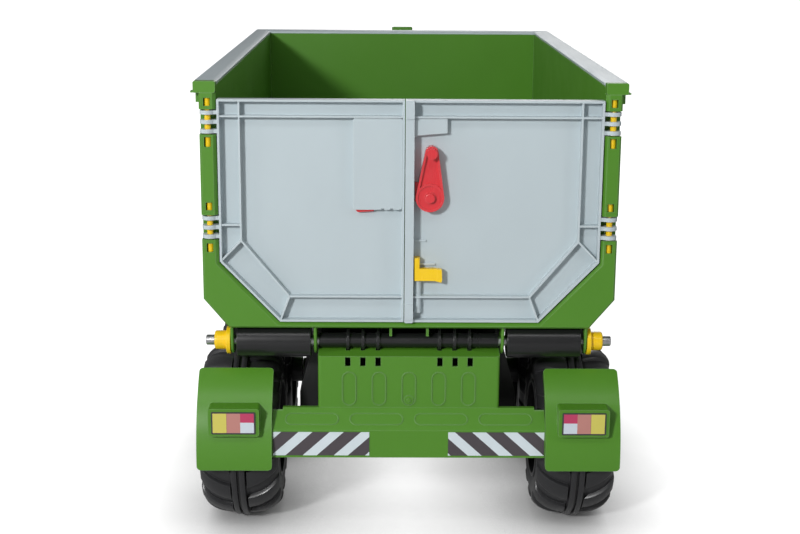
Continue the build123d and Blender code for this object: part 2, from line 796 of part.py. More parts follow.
housing_rear = rear_face - 2.0
housing_front = rear_face + 60.0
housing_shoulder = 228.5
fin_room = 1.0
saddle_inner_x = 22.0
saddle_outer_x = 88.0
saddle_top = 241.5
saddle_ahead = 14.0
slot_width = 6.2
slot_height = 11.0
slot_z = 218.5
oval_pitch = 34.5
oval_width = 16.6
oval_height = 41.0
oval_z = 186.0
oval_depth = 1.0
housing_screw_z = 172.5

with BuildPart() as rear_housing:
    with BuildSketch(along(-housing_half_width)):
        Polygon(
            (housing_rear, bumper_top),
            (housing_rear, housing_top),
            (pivot_y - pivot_tube_radius, housing_shoulder),
            (housing_front, housing_shoulder),
            (housing_front, bumper_top),
        )
    extrude(amount=2 * housing_half_width)
    fillet(rear_housing.edges().filter_by(Axis.Z).group_by(Axis.Y)[0], 3.5)
    # hollow, open at its front and bottom
    with BuildSketch(along(-housing_half_width + sheet)):
        Polygon(
            (housing_rear + sheet, bumper_top - 1),
            (housing_rear + sheet, housing_top - sheet),
            (pivot_y - pivot_tube_radius, housing_shoulder - sheet),
            (housing_front + 1, housing_shoulder - sheet),
            (housing_front + 1, bumper_top - 1),
        )
    extrude(amount=2 * (housing_half_width - sheet), mode=Mode.SUBTRACT)
    # oval pads, and the screw's boss in the middle one
    for pad in range(-2, 3):
        with BuildSketch(across(housing_rear - oval_depth)):
            with Locations((pad * oval_pitch, oval_z)):
                SlotOverall(oval_height, oval_width, rotation=90)
                SlotOverall(oval_height - 2, oval_width - 2, rotation=90, mode=Mode.SUBTRACT)
        extrude(amount=-2 * oval_depth)
    with BuildSketch(across(housing_rear - oval_depth)):
        with Locations((0, housing_screw_z)):
            Circle(5.6)
    extrude(amount=-2 * oval_depth)
    # two saddles that the pivot tube is screwed against, in front of it
    for side in sides.values():
        with BuildSketch(level(housing_shoulder - 1)):
            with Locations((side * (saddle_inner_x + saddle_outer_x) / 2, pivot_y + saddle_ahead / 2)):
                Rectangle(saddle_outer_x - saddle_inner_x, saddle_ahead)
        extrude(amount=saddle_top - housing_shoulder + 1)
    with BuildSketch(along(-housing_half_width)):
        with Locations((pivot_y, pivot_height)):
            Circle(pivot_tube_radius)
    extrude(amount=2 * housing_half_width, mode=Mode.SUBTRACT)
    # room for the fins in the top and the saddles, and a slot in the rear wall below each
    for fin_x in tube_fin_places:
        for side in sides.values():
            with BuildSketch(along(side * fin_x - tube_fin_width / 2 - fin_room)):
                with Locations((pivot_y, pivot_height)):
                    Circle(tube_fin_radius + fin_room)
            extrude(amount=tube_fin_width + 2 * fin_room, mode=Mode.SUBTRACT)
            with BuildSketch(across(housing_rear - 1)):
                with Locations((side * fin_x, slot_z)):
                    Rectangle(slot_width, slot_height)
            extrude(amount=-(sheet + 1.5), mode=Mode.SUBTRACT)
rear_housing.part.label = "rear_housing"
export_step(rear_housing.part, "parts/rear_housing.step")

bumper_rear = rear_face + bumper_inset
bumper_front = rear_face + 4.0
tyre_room_x = wheel_x - tyre_width / 2 - 4
tyre_room = 2.0
bumper_pad_length = 62.0
bumper_pad_height = 15.0
bumper_pad_pitch = 74.6
bumper_slope = degrees(atan2(housing_rear - bumper_rear, bumper_top - bumper_edge))
bumper_slope_mid = ((housing_rear + bumper_rear) / 2, (bumper_top + bumper_edge) / 2)
slanted_face = Plane(
    origin=(0, *bumper_slope_mid),
    x_dir=(1, 0, 0),
    z_dir=(0, -cos(radians(bumper_slope)), sin(radians(bumper_slope))),
)

with BuildPart() as rear_bumper:
    with BuildSketch(along(-fender_inner_x)):
        Polygon(
            (housing_rear, bumper_top),
            (bumper_rear, bumper_edge),
            (bumper_rear, bumper_bottom),
            (bumper_front, bumper_bottom),
            (bumper_front, bumper_top),
        )
    extrude(amount=2 * fender_inner_x)
    with BuildSketch(along(-fender_inner_x + sheet)):
        Polygon(
            (housing_rear + sheet / 2, bumper_top - sheet),
            (bumper_rear + sheet, bumper_edge - 1),
            (bumper_rear + sheet, bumper_bottom + sheet),
            (bumper_front + 1, bumper_bottom + sheet),
            (bumper_front + 1, bumper_top - sheet),
        )
    extrude(amount=2 * (fender_inner_x - sheet), mode=Mode.SUBTRACT)
    # room for the tyres behind the two ends
    for side in sides.values():
        with BuildSketch(along(side * tyre_room_x)):
            with Locations((rear_axle_y, axle_z)):
                Circle(tyre_radius + tyre_room)
        extrude(amount=side * (fender_inner_x - tyre_room_x), mode=Mode.SUBTRACT)
    # four raised outlines on the slanted face
    for step in (-1.5, -0.5, 0.5, 1.5):
        with BuildSketch(slanted_face.offset(-1)):
            with Locations((step * bumper_pad_pitch, 0)):
                SlotOverall(bumper_pad_length, bumper_pad_height)
                SlotOverall(bumper_pad_length - 2, bumper_pad_height - 2, mode=Mode.SUBTRACT)
        extrude(amount=2)
rear_bumper.part.label = "rear_bumper"
export_step(rear_bumper.part, "parts/rear_bumper.step")

stripe_inner_x = 45.5
stripe_outer_x = 156.5
stripe_top = 140.2
stripe_bottom = 111.8
stripe_thickness = 0.6

for side_name, side in sides.items():
    with BuildPart() as stripe_panel:
        with BuildSketch(across(bumper_rear - stripe_thickness)):
            with Locations((side * (stripe_inner_x + stripe_outer_x) / 2, (stripe_top + stripe_bottom) / 2)):
                Rectangle(stripe_outer_x - stripe_inner_x, stripe_top - stripe_bottom)
        extrude(amount=-stripe_thickness)
    stripe_panel.part.label = f"stripe_panel_{side_name}"
    export_step(stripe_panel.part, f"parts/stripe_panel_{side_name}.step")

# ---- fenders and lamps ---------------------------------------------------------------

fender_outer_radius = tyre_radius + fender_gap + sheet
fender_low_angle = -5.0
fender_high_angle = 54.0
fender_skirt = 7.0
fender_corner = 5.0
lamp_inner_x = 171.0
lamp_outer_x = 229.3
lamp_bottom = 139.0
lamp_top = 172.0
lamp_face = rear_face + lamp_face_inset + lens_thickness
lens_inner_x = 175.0
lens_outer_x = 225.3
lens_bottom = 142.0
lens_top = 168.5


def fan(radius):
    """Pie slice about the rear axle, rearward between the fender's two end angles."""
    low = radians(180 - fender_low_angle)
    high = radians(180 - fender_high_angle)
    far = 2 * radius
    return [
        (rear_axle_y, axle_z),
        (rear_axle_y + far * cos(low), axle_z + far * sin(low)),
        (rear_axle_y - far, axle_z + far * sin(high)),
        (rear_axle_y + far * cos(high), axle_z + far * sin(high)),
    ]


with BuildPart() as fender_right:
    with BuildSketch(along(fender_inner_x)):
        with Locations((rear_axle_y, axle_z)):
            Circle(fender_outer_radius)
            Circle(fender_outer_radius - fender_skirt, mode=Mode.SUBTRACT)
        Polygon(*fan(fender_outer_radius), mode=Mode.INTERSECT)
    extrude(amount=fender_width)
    # rounded corners at its top and bottom
    fillet(fender_right.edges().filter_by(lambda edge: abs(edge.length - fender_skirt) < 0.01), fender_corner)
    with BuildSketch(along(fender_inner_x + sheet)):
        with Locations((rear_axle_y, axle_z)):
            Circle(fender_outer_radius - sheet)
    extrude(amount=fender_width - 2 * sheet, mode=Mode.SUBTRACT)
    # raised lamp box, hollow behind
    with BuildSketch(across(lamp_face)):
        with Locations(((lamp_inner_x + lamp_outer_x) / 2, (lamp_bottom + lamp_top) / 2)):
            RectangleRounded(lamp_outer_x - lamp_inner_x, lamp_top - lamp_bottom, 3.0)
    extrude(amount=-40)
    with BuildSketch(across(lamp_face + sheet)):
        with Locations(((lamp_inner_x + lamp_outer_x) / 2, (lamp_bottom + lamp_top) / 2)):
            Rectangle(lamp_outer_x - lamp_inner_x - 2 * sheet, lamp_top - lamp_bottom - 2 * sheet)
    extrude(amount=-40, mode=Mode.SUBTRACT)
    with BuildSketch(along(fender_inner_x + sheet)):
        with Locations((rear_axle_y, axle_z)):
            Circle(fender_outer_radius - sheet)
    extrude(amount=fender_width - 2 * sheet, mode=Mode.SUBTRACT)
fender_right.part.label = "fender_right"
export_step(fender_right.part, "parts/fender_right.step")

with BuildPart() as fender_left:
    mirror(fender_right.part, about=Plane.YZ)
fender_left.part.label = "fender_left"
export_step(fender_left.part, "parts/fender_left.step")

for side_name, side in sides.items():
    with BuildPart() as lamp_lens:
        with BuildSketch(across(lamp_face - lens_thickness)):
            with Locations((side * (lens_inner_x + lens_outer_x) / 2, (lens_bottom + lens_top) / 2)):
                RectangleRounded(lens_outer_x - lens_inner_x, lens_top - lens_bottom, 1.2)
        extrude(amount=-lens_thickness)
    lamp_lens.part.label = f"lamp_lens_{side_name}"
    export_step(lamp_lens.part, f"parts/lamp_lens_{side_name}.step")

# ---- chassis frame, carriers, axles --------------------------------------------------

frame_rear = housing_front
beam_front = rear_face + beam_front_inset
arm_half_length = 20.0
arm_bottom = 222.0
arm_top = 250.0
carrier_top_x = 112.0
carrier_low_x = 122.0
carrier_thickness = 8.0
carrier_bend_high = 225.0
carrier_bend_low = 160.0
carrier_boss_radius = 16.0
wheel_side_gap = 1.0
hub_start_x = fender_inner_x - 16.5
carrier_boss_end = hub_start_x - wheel_side_gap
pad_y = rear_face + rib_share[2] * (front_wall - rear_face) + rib_thickness / 2
pad_x = 75.0
pad_size = 26.0
rest_bar_half_width = 92.0
rest_bar_bottom = 234.0
hanger_inner_x = 72.0
hanger_width = 20.0
hanger_top = 138.0

with BuildPart() as chassis_frame:
    # main beam, an upturned channel
    with BuildSketch(along(-beam_half_width)):
        with Locations(((frame_rear + beam_front) / 2, (beam_bottom + beam_top) / 2)):
            Rectangle(beam_front - frame_rear, beam_top - beam_bottom)
    extrude(amount=2 * beam_half_width)
    with BuildSketch(across(frame_rear + wall)):
        with Locations((0, (beam_bottom + beam_top) / 2 - wall)):
            Rectangle(2 * (beam_half_width - wall), beam_top - beam_bottom)
    extrude(amount=-(beam_front - frame_rear), mode=Mode.SUBTRACT)
    # cross arms over the axles
    for y in axle_y.values():
        for side in sides.values():
            with BuildSketch(level(arm_bottom)):
                with Locations((side * (beam_half_width + carrier_top_x - carrier_thickness) / 2, y)):
                    Rectangle(carrier_top_x - carrier_thickness - beam_half_width, 2 * arm_half_length)
            extrude(amount=arm_top - arm_bottom)
            with BuildSketch(level(arm_bottom)):
                with Locations((side * (beam_half_width + carrier_top_x - carrier_thickness) / 2, y)):
                    Rectangle(
                        carrier_top_x - carrier_thickness - beam_half_width - 2 * wall,
                        2 * (arm_half_length - wall),
                    )
            extrude(amount=arm_top - arm_bottom - wall, mode=Mode.SUBTRACT)
    # bar under the tub's third rib
    for side in sides.values():
        with BuildSketch(level(rest_bar_bottom)):
            with Locations((side * (beam_half_width + rest_bar_half_width) / 2, pad_y)):
                Rectangle(rest_bar_half_width - beam_half_width, pad_size + 4)
        extrude(amount=beam_top - rest_bar_bottom)
    # rear plate that closes the housing, with two hangers that reach into the bumper
    with BuildSketch(across(frame_rear)):
        with Locations((0, (bumper_bottom + sheet + housing_shoulder - sheet) / 2)):
            Rectangle(
                2 * (hanger_inner_x + hanger_width),
                housing_shoulder - 2 * sheet - bumper_bottom,
            )
    extrude(amount=-wall)
    for side in sides.values():
        with BuildSketch(along(side * (hanger_inner_x + hanger_width / 2) - hanger_width / 2)):
            with Locations(((bumper_rear + 8 + frame_rear) / 2, (bumper_bottom + sheet + hanger_top) / 2)):
                Rectangle(frame_rear - bumper_rear - 8, hanger_top - bumper_bottom - sheet)
        extrude(amount=hanger_width)
chassis_frame.part.label = "chassis_frame"
export_step(chassis_frame.part, "parts/chassis_frame.step")

with BuildPart() as carrier_right:
    # flat against the cross arms above, and wider outward at the axles
    carrier_rear = rear_axle_y - arm_half_length - 4
    carrier_front = front_axle_y + arm_half_length + 4
    with BuildSketch(across(carrier_rear)):
        Polygon(
            (carrier_top_x - carrier_thickness, arm_top),
            (carrier_top_x - carrier_thickness, axle_z - carrier_boss_radius),
            (carrier_low_x + carrier_thickness, axle_z - carrier_boss_radius),
            (carrier_low_x + carrier_thickness, carrier_bend_low),
            (carrier_top_x, carrier_bend_high),
            (carrier_top_x, arm_top),
        )
    extrude(amount=-(carrier_front - carrier_rear))
    for y in axle_y.values():
        with BuildSketch(along(carrier_low_x)):
            with Locations((y, axle_z)):
                Circle(carrier_boss_radius)
        extrude(amount=carrier_boss_end - carrier_low_x)
        with BuildSketch(along(carrier_top_x - carrier_thickness - 1)):
            with Locations((y, axle_z)):
                Circle(axle_radius + fit_clearance)
        extrude(amount=carrier_boss_end - carrier_top_x + carrier_thickness + 2, mode=Mode.SUBTRACT)
carrier_right.part.label = "axle_carrier_right"
export_step(carrier_right.part, "parts/axle_carrier_right.step")

with BuildPart() as carrier_left:
    mirror(carrier_right.part, about=Plane.YZ)
carrier_left.part.label = "axle_carrier_left"
export_step(carrier_left.part, "parts/axle_carrier_left.step")

hub_end_x = overall_width / 2 - 17.0
cap_radius = 14.0
cap_thickness = 9.0
axle_half_length = hub_end_x + wheel_side_gap + cap_thickness - 3.0

for axle_name, y in axle_y.items():
    with BuildPart() as axle:
        with BuildSketch(along(-axle_half_length)):
            with Locations((y, axle_z)):
                Circle(axle_radius)
        extrude(amount=2 * axle_half_length)
        chamfer(axle.edges().filter_by(GeomType.CIRCLE), 1.0)
    axle.part.label = f"axle_{axle_name}"
    export_step(axle.part, f"parts/axle_{axle_name}.step")

with BuildPart() as hub_caps:
    for y in axle_y.values():
        for side in sides.values():
            with BuildSketch(along(side * (hub_end_x + wheel_side_gap))):
                with Locations((y, axle_z)):
                    Circle(cap_radius)
                    Circle(axle_radius + 0.02, mode=Mode.SUBTRACT)
            extrude(amount=axle_half_length + 0.02 - hub_end_x - wheel_side_gap, dir=(side, 0, 0))
            with BuildSketch(along(side * (axle_half_length + 0.02))):
                with Locations((y, axle_z)):
                    Circle(cap_radius)
            extrude(amount=side * 2.98, taper=30)
hub_caps.part.label = "hub_caps"
export_step(hub_caps.part, "parts/hub_caps.step")

# ---- wheels --------------------------------------------------------------------------

tread_radius = tyre_radius - 7.5
tyre_wall = 5.0
bead_gap = 0.1
shoulder = 16.0
centre_rib_width = 7.0
centre_rib_pitch = 12.0
lug_count = 15
lug_width = 15.0
rim_half_width = 46.0
rim_wall = 4.0
hub_radius = 17.0
web_thickness = 5.0
web_offset = 14.0


def tyre_at(side, y):
    """Hollow tyre with slanted lugs on both shoulders and a double rib round the middle."""
    axis = Axis((0, y, axle_z), (1, 0, 0))
    middle = side * wheel_x
    half = tyre_width / 2
    with BuildPart() as tyre:
        # outer skin, as a ring section above the axle
        with BuildSketch(Plane((0, y, axle_z), x_dir=(1, 0, 0), z_dir=(0, -1, 0))):
            with Locations((middle, (tread_radius + rim_radius) / 2)):
                RectangleRounded(tyre_width, tread_radius - rim_radius, shoulder)
                RectangleRounded(
                    tyre_width - 2 * tyre_wall,
                    tread_radius - rim_radius - 2 * tyre_wall,
                    shoulder - tyre_wall,
                    mode=Mode.SUBTRACT,
                )
            # open along the rim
            with Locations((middle, rim_radius)):
                Rectangle(tyre_width - 2 * shoulder, 3 * tyre_wall, mode=Mode.SUBTRACT)
            for rib in (-0.5, 0.5):
                with Locations((middle + rib * centre_rib_pitch, tyre_radius - 6)):
                    Rectangle(centre_rib_width, 12)
        revolve(axis=axis)
        # slanted lugs from the ribs out over the shoulders
        for end in (-1, 1):
            for step in range(lug_count):
                turn = 360 / lug_count * (step + (0.5 if end > 0 else 0))
                lug_plane = Plane((middle, y, axle_z)).rotated((turn, 0, 0))
                with BuildSketch(lug_plane.offset(tread_radius - 3)):
                    Polygon(
                        (end * (centre_rib_pitch / 2 + 1), -lug_width / 2),
                        (end * (half - 3), lug_width / 2),
                        (end * (half - 3), lug_width * 1.5),
                        (end * (centre_rib_pitch / 2 + 1), lug_width / 2),
                    )
                extrude(amount=7.0, taper=8)
    return tyre.part


def rim_at(side, y):
    """Dished wheel with a hub that runs on the axle."""
    outer = side * wheel_x
    hub_mid = side * (hub_start_x + hub_end_x) / 2
    with BuildPart() as rim:
        with BuildSketch(Plane((0, y, axle_z), x_dir=(1, 0, 0), z_dir=(0, -1, 0))):
            barrel = rim_radius - bead_gap - rim_wall / 2
            with Locations((outer, barrel)):
                Rectangle(2 * rim_half_width, rim_wall)
            with Locations((hub_mid, (hub_radius + axle_radius + fit_clearance) / 2)):
                Rectangle(hub_end_x - hub_start_x, hub_radius - axle_radius - fit_clearance)
            with Locations((outer + side * web_offset, (barrel + axle_radius + 6) / 2)):
                Rectangle(web_thickness, barrel - axle_radius - 6)
        revolve(axis=Axis((0, y, axle_z), (1, 0, 0)))
        # round windows in the disc
        with BuildSketch(along(outer + side * web_offset - 2 * web_thickness)):
            with Locations((y, axle_z)):
                with PolarLocations((hub_radius + rim_radius) / 2 - 1, 6):
                    Circle(9.0)
        extrude(amount=4 * web_thickness, mode=Mode.SUBTRACT)
    return rim.part


for axle_name, y in axle_y.items():
    for side_name, side in sides.items():
        tyre_part = tyre_at(side, y)
        tyre_part.label = f"tyre_{axle_name}_{side_name}"
        export_step(tyre_part, f"parts/tyre_{axle_name}_{side_name}.step")
        rim_part = rim_at(side, y)
        rim_part.label = f"wheel_rim_{axle_name}_{side_name}"
        export_step(rim_part, f"parts/wheel_rim_{axle_name}_{side_name}.step")

# ---- drawbar and hitch eye -----------------------------------------------------------

drawbar_rear = beam_front - 140.0
drawbar_wall = 4.0
bush_wall = 3.0
bush_length = 20.0
eye_thickness = 18.0
neck_length = 70.0

with BuildPart() as drawbar:
    with BuildSketch(level(drawbar_bottom)):
        Polygon(
            (-drawbar_half_width, drawbar_rear),
            (drawbar_half_width, drawbar_rear),
            (drawbar_half_width, hitch_y - neck_length),
            (eye_radius * 0.6, hitch_y),
            (-eye_radius * 0.6, hitch_y),
            (-drawbar_half_width, hitch_y - neck_length),
        )
    extrude(amount=drawbar_top - drawbar_bottom)
    with BuildSketch(across(drawbar_rear)):
        with Locations((0, hitch_z)):
            Rectangle(
                2 * (drawbar_half_width - drawbar_wall),
                drawbar_top - drawbar_bottom - 2 * drawbar_wall,
            )
    extrude(amount=-(hitch_y - neck_length - drawbar_rear), mode=Mode.SUBTRACT)
    # thinner eye at the tip
    with BuildSketch(level(hitch_z - eye_thickness / 2)):
        with Locations((0, hitch_y)):
            Circle(eye_radius)
    extrude(amount=eye_thickness)
    for plane, lift in ((level(hitch_z + eye_thickness / 2), 20), (level(hitch_z - eye_thickness / 2), -20)):
        with BuildSketch(plane):
            with Locations((0, hitch_y)):
                Circle(eye_radius + 4)
        extrude(amount=lift, mode=Mode.SUBTRACT)
    with BuildSketch(level(drawbar_bottom - 1)):
        with Locations((0, hitch_y)):
            Circle(eye_bore_radius + bush_wall)
    extrude(amount=drawbar_top - drawbar_bottom + 2, mode=Mode.SUBTRACT)
drawbar.part.label = "drawbar"
export_step(drawbar.part, "parts/drawbar.step")

with BuildPart() as hitch_bush:
    with BuildSketch(level(hitch_z - bush_length / 2)):
        with Locations((0, hitch_y)):
            Circle(eye_bore_radius + bush_wall)
            Circle(eye_bore_radius, mode=Mode.SUBTRACT)
    extrude(amount=bush_length)
hitch_bush.part.label = "hitch_bush"
export_step(hitch_bush.part, "parts/hitch_bush.step")

# ---- tub lock at the front -----------------------------------------------------------

# A T-handled rod on the tub: its foot drops between the two bridges of the keeper on the
# drawbar, and a quarter turn locks it under them. It is drawn unlocked.
lock_radius = 3.5
handle_half_length = 17.0
handle_width = 8.0
handle_height = 10.0
handle_top = rim_height + 4.0
lock_y = strip_front + handle_half_length + 2.0
keeper_height = 18.0
keeper_plate = 4.0
keeper_half_width = 18.0
keeper_half_depth = 14.0
foot_half_length = 12.0
foot_width = 6.0
foot_height = 5.0
foot_slot_gap = 1.2
foot_bottom = drawbar_top + 5.0
guide_half_width = 8.0
guide_height = 10.0
guide_nose = 8.0
lower_guide_z = 290.0
upper_guide_z = handle_top - handle_height - 4.0 - guide_height

with BuildPart() as lock_rod:
    with BuildSketch(level(foot_bottom)):
        with Locations((0, lock_y)):
            Circle(lock_radius)
    extrude(amount=handle_top - foot_bottom - 3)
    with BuildSketch(level(handle_top - handle_height)):
        with Locations((0, lock_y)):
            RectangleRounded(2 * handle_half_length, handle_width, 3.5)
    extrude(amount=handle_height)
    fillet(lock_rod.faces().sort_by(Axis.Z)[-1].edges(), 2.0)
    with BuildSketch(level(foot_bottom)):
        with Locations((0, lock_y)):
            RectangleRounded(2 * foot_half_length, foot_width, 2.5)
    extrude(amount=foot_height)
lock_rod.part.label = "lock_rod"
export_step(lock_rod.part, "parts/lock_rod.step")

with BuildPart() as lock_guides:
    for guide_z, guide_rear in ((lower_guide_z, front_wall + wall), (upper_guide_z, tub_front)):
        with BuildSketch(level(guide_z)):
            with Locations((0, (guide_rear + lock_y + guide_nose) / 2)):
                Rectangle(2 * guide_half_width, lock_y + guide_nose - guide_rear)
            with Locations((0, lock_y)):
                Circle(lock_radius + fit_clearance, mode=Mode.SUBTRACT)
        extrude(amount=guide_height)
lock_guides.part.label = "lock_guides"
export_step(lock_guides.part, "parts/lock_guides.step")

with BuildPart() as lock_keeper:
    # two bridges, one each side of the foot's way in
    bridge_inner = foot_width / 2 + foot_slot_gap
    for side in sides.values():
        with BuildSketch(level(drawbar_top)):
            with Locations((0, lock_y + side * (bridge_inner + keeper_half_depth) / 2)):
                Rectangle(2 * keeper_half_width, keeper_half_depth - bridge_inner)
        extrude(amount=keeper_height)
    with BuildSketch(level(drawbar_top)):
        with Locations((0, lock_y)):
            Rectangle(2 * (foot_half_length + 2), 2 * keeper_half_depth)
    extrude(amount=keeper_height - keeper_plate, mode=Mode.SUBTRACT)
lock_keeper.part.label = "lock_keeper"
export_step(lock_keeper.part, "parts/lock_keeper.step")

with BuildPart() as rest_pads:
    with BuildSketch(level(beam_top)):
        with Locations((-pad_x, pad_y), (pad_x, pad_y)):
            RectangleRounded(pad_size, pad_size, 4.0)
    extrude(amount=tub_bottom - beam_top)
rest_pads.part.label = "rest_pads"
export_step(rest_pads.part, "parts/rest_pads.step")

# ---- screws --------------------------------------------------------------------------

screw_head_radius = 2.6

with BuildPart() as housing_screw:
    with BuildSketch(across(housing_rear - oval_depth - 1.4)):
        with Locations((0, housing_screw_z)):
            Circle(screw_head_radius)
    extrude(amount=-1.4)
housing_screw.part.label = "housing_screw"
export_step(housing_screw.part, "parts/housing_screw.step")

with BuildPart() as carrier_bolts:
    for y in axle_y.values():
        for side in sides.values():
            with BuildSketch(along(side * carrier_top_x)):
                with Locations((y - 12, 238), (y + 12, 238)):
                    RegularPolygon(6.0, 6)
            extrude(amount=side * 4.5)
carrier_bolts.part.label = "carrier_bolts"
export_step(carrier_bolts.part, "parts/carrier_bolts.step")

with BuildPart() as drawbar_bolts:
    with BuildSketch(level(beam_top)):
        with Locations((0, beam_front - 30), (0, beam_front - 100)):
            RegularPolygon(7.0, 6)
    extrude(amount=3.5)
drawbar_bolts.part.label = "drawbar_bolts"
export_step(drawbar_bolts.part, "parts/drawbar_bolts.step")
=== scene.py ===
from math import cos, pi, radians, sin

import bmesh
import bpy
from mathutils import Matrix, Vector


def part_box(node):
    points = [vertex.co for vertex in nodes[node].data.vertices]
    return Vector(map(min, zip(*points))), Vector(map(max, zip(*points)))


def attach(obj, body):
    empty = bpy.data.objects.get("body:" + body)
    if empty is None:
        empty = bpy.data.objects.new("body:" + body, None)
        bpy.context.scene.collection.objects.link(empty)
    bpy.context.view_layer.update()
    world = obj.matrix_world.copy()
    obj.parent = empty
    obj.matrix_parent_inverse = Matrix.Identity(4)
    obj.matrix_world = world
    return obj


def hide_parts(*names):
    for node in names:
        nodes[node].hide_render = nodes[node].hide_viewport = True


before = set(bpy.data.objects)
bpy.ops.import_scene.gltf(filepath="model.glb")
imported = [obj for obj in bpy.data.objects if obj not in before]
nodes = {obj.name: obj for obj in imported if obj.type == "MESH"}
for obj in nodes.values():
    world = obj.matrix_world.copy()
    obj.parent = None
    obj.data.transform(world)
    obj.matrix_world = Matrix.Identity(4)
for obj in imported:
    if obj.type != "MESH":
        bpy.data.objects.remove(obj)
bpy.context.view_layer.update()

# ---- floor, light and camera ----------------------------------------------------------
# The trailer stands in a white paper bowl that glows and looks brighter further out, with a
# painted contact shadow dimming its glow close to the trailer. A key light comes in low from
# the left of its doors, and the others edge the fenders and the tub.

bowl = bmesh.new()
bowl_section = [(3.2, 0.0), (4.0, 0.12), (4.6, 0.5), (4.9, 1.2), (5.0, 4.0)]
bowl_sides = 72
rings = []
for radius, rise in bowl_section:
    angles = [2 * pi * k / bowl_sides for k in range(bowl_sides)]
    rings.append([bowl.verts.new((radius * cos(angle), radius * sin(angle), rise)) for angle in angles])
middle = bowl.verts.new((0, 0, 0))
for k in range(bowl_sides):
    follower = (k + 1) % bowl_sides
    bowl.faces.new((middle, rings[0][k], rings[0][follower]))
    for inner, outer in zip(rings, rings[1:]):
        bowl.faces.new((inner[k], outer[k], outer[follower], inner[follower]))
floor_mesh = bpy.data.meshes.new("floor")
bowl.to_mesh(floor_mesh)
bowl.free()
floor_mesh.shade_smooth()
floor = bpy.data.objects.new("floor", floor_mesh)
bpy.context.collection.objects.link(floor)
paper = bpy.data.materials.new("white_paper")
paper.use_nodes = True
shader = paper.node_tree.nodes["Principled BSDF"]
node, link = paper.node_tree.nodes.new, paper.node_tree.links.new
fibre = node("ShaderNodeTexNoise")
fibre.inputs["Scale"].default_value = 180
tone = node("ShaderNodeMapRange")
tone.inputs["To Min"].default_value = 0.51
tone.inputs["To Max"].default_value = 0.53
link(fibre.outputs["Fac"], tone.inputs["Value"])
seen = node("ShaderNodeLightPath")
bright = node("ShaderNodeMix")
bright.inputs["A"].default_value = 0.38
link(seen.outputs["Is Camera Ray"], bright.inputs["Factor"])
link(tone.outputs["Result"], bright.inputs["B"])
link(bright.outputs["Result"], shader.inputs["Base Color"])
# it glows white to the camera, darker close to the trailer where a painted contact shadow dims the glow,
# and lights the trailer only faintly
spot = node("ShaderNodeTexCoord")
reach = node("ShaderNodeVectorMath")
reach.operation = "LENGTH"
link(spot.outputs["Object"], reach.inputs[0])
lift = node("ShaderNodeMapRange")
lift.interpolation_type = "SMOOTHSTEP"
lift.inputs["From Min"].default_value = 0.55
lift.inputs["From Max"].default_value = 1.7
lift.inputs["To Min"].default_value = 1.0
lift.inputs["To Max"].default_value = 1.05
link(reach.outputs["Value"], lift.inputs["Value"])
glow = node("ShaderNodeMix")
glow.inputs["A"].default_value = 0.10
link(seen.outputs["Is Camera Ray"], glow.inputs["Factor"])
# painted contact shadow: ambient occlusion dims the floor's glow close to the trailer
painted_contact_shadow = node("ShaderNodeAmbientOcclusion")
painted_contact_shadow.samples = 16
painted_contact_shadow.inputs["Distance"].default_value = 0.16
contact_shadow_depth = node("ShaderNodeMath")
contact_shadow_depth.operation = "POWER"
contact_shadow_depth.inputs[1].default_value = 1.8
link(painted_contact_shadow.outputs["AO"], contact_shadow_depth.inputs[0])
shaded = node("ShaderNodeMath")
shaded.operation = "MULTIPLY"
link(lift.outputs["Result"], shaded.inputs[0])
link(contact_shadow_depth.outputs["Value"], shaded.inputs[1])
link(shaded.outputs["Value"], glow.inputs["B"])
link(glow.outputs["Result"], shader.inputs["Emission Strength"])
shader.inputs["Roughness"].default_value = 0.85
shader.inputs["Specular IOR Level"].default_value = 0.2
shader.inputs["Emission Color"].default_value = (1, 1, 1, 1)
floor_mesh.materials.append(paper)

world = bpy.data.worlds.new("studio")
world.use_nodes = True
world.node_tree.nodes["Background"].inputs["Color"].default_value = (0.95, 0.98, 1.0, 1)
world.node_tree.nodes["Background"].inputs["Strength"].default_value = 0.10
bpy.context.scene.world = world
bpy.context.scene.view_settings.view_transform = "Standard"

# each lamp's place, what it aims at, its width, height and power
lamps = {
    "key": ((-1.55, -3.2, 1.55), (0.0, -0.4, 0.30), 0.35, 0.35, 78),
    "overhead": ((-1.3, -0.5, 2.4), (0.05, -0.1, 0.25), 1.0, 1.4, 4),
    "long_bar": ((-0.1, -1.95, 2.25), (0.0, -0.42, 0.25), 3.0, 0.22, 9),
    "left_strip": ((-2.2, -1.2, 0.8), (-0.2, -0.4, 0.3), 0.5, 1.8, 8),
    "right_strip": ((2.0, -1.5, 0.8), (0.2, -0.4, 0.3), 0.5, 1.8, 6),
    "front_fill": ((0.5, 3.0, 1.6), (0.0, 0.4, 0.3), 1.5, 1.5, 14),
}
for name, (place, aim, width, height, power) in lamps.items():
    light = bpy.data.lights.new(name, "AREA")
    light.shape = "RECTANGLE"
    light.size = width
    light.size_y = height
    light.energy = power
    lamp = bpy.data.objects.new(name, light)
    lamp.location = place
    lamp.rotation_euler = (Vector(aim) - Vector(place)).to_track_quat("-Z", "Y").to_euler()
    bpy.context.collection.objects.link(lamp)

camera_place = (-0.0303, -2.019, 0.707)
heading, tilt, roll = 0.0122, 0.2346, 0.0068
forward = Vector((sin(heading) * cos(tilt), cos(heading) * cos(tilt), -sin(tilt)))
level_right = Vector((cos(heading), -sin(heading), 0))
level_up = level_right.cross(forward)
right = cos(roll) * level_right + sin(roll) * level_up
up = cos(roll) * level_up - sin(roll) * level_right
camera_data = bpy.data.cameras.new("camera")
camera_data.sensor_width = 36
camera_data.lens = 64.15
camera = bpy.data.objects.new("camera", camera_data)
turn = Matrix((right, up, -forward)).transposed().to_4x4()
camera.matrix_world = Matrix.Translation(camera_place) @ turn
bpy.context.collection.objects.link(camera)
bpy.context.scene.camera = camera

# ---- tub ------------------------------------------------------------------------------
# One green polypropylene moulding: a trough with a thick rear frame, outside ribs and a
# rim flange. The mould leaves rounded edges, a fine grain and faint flow lines.

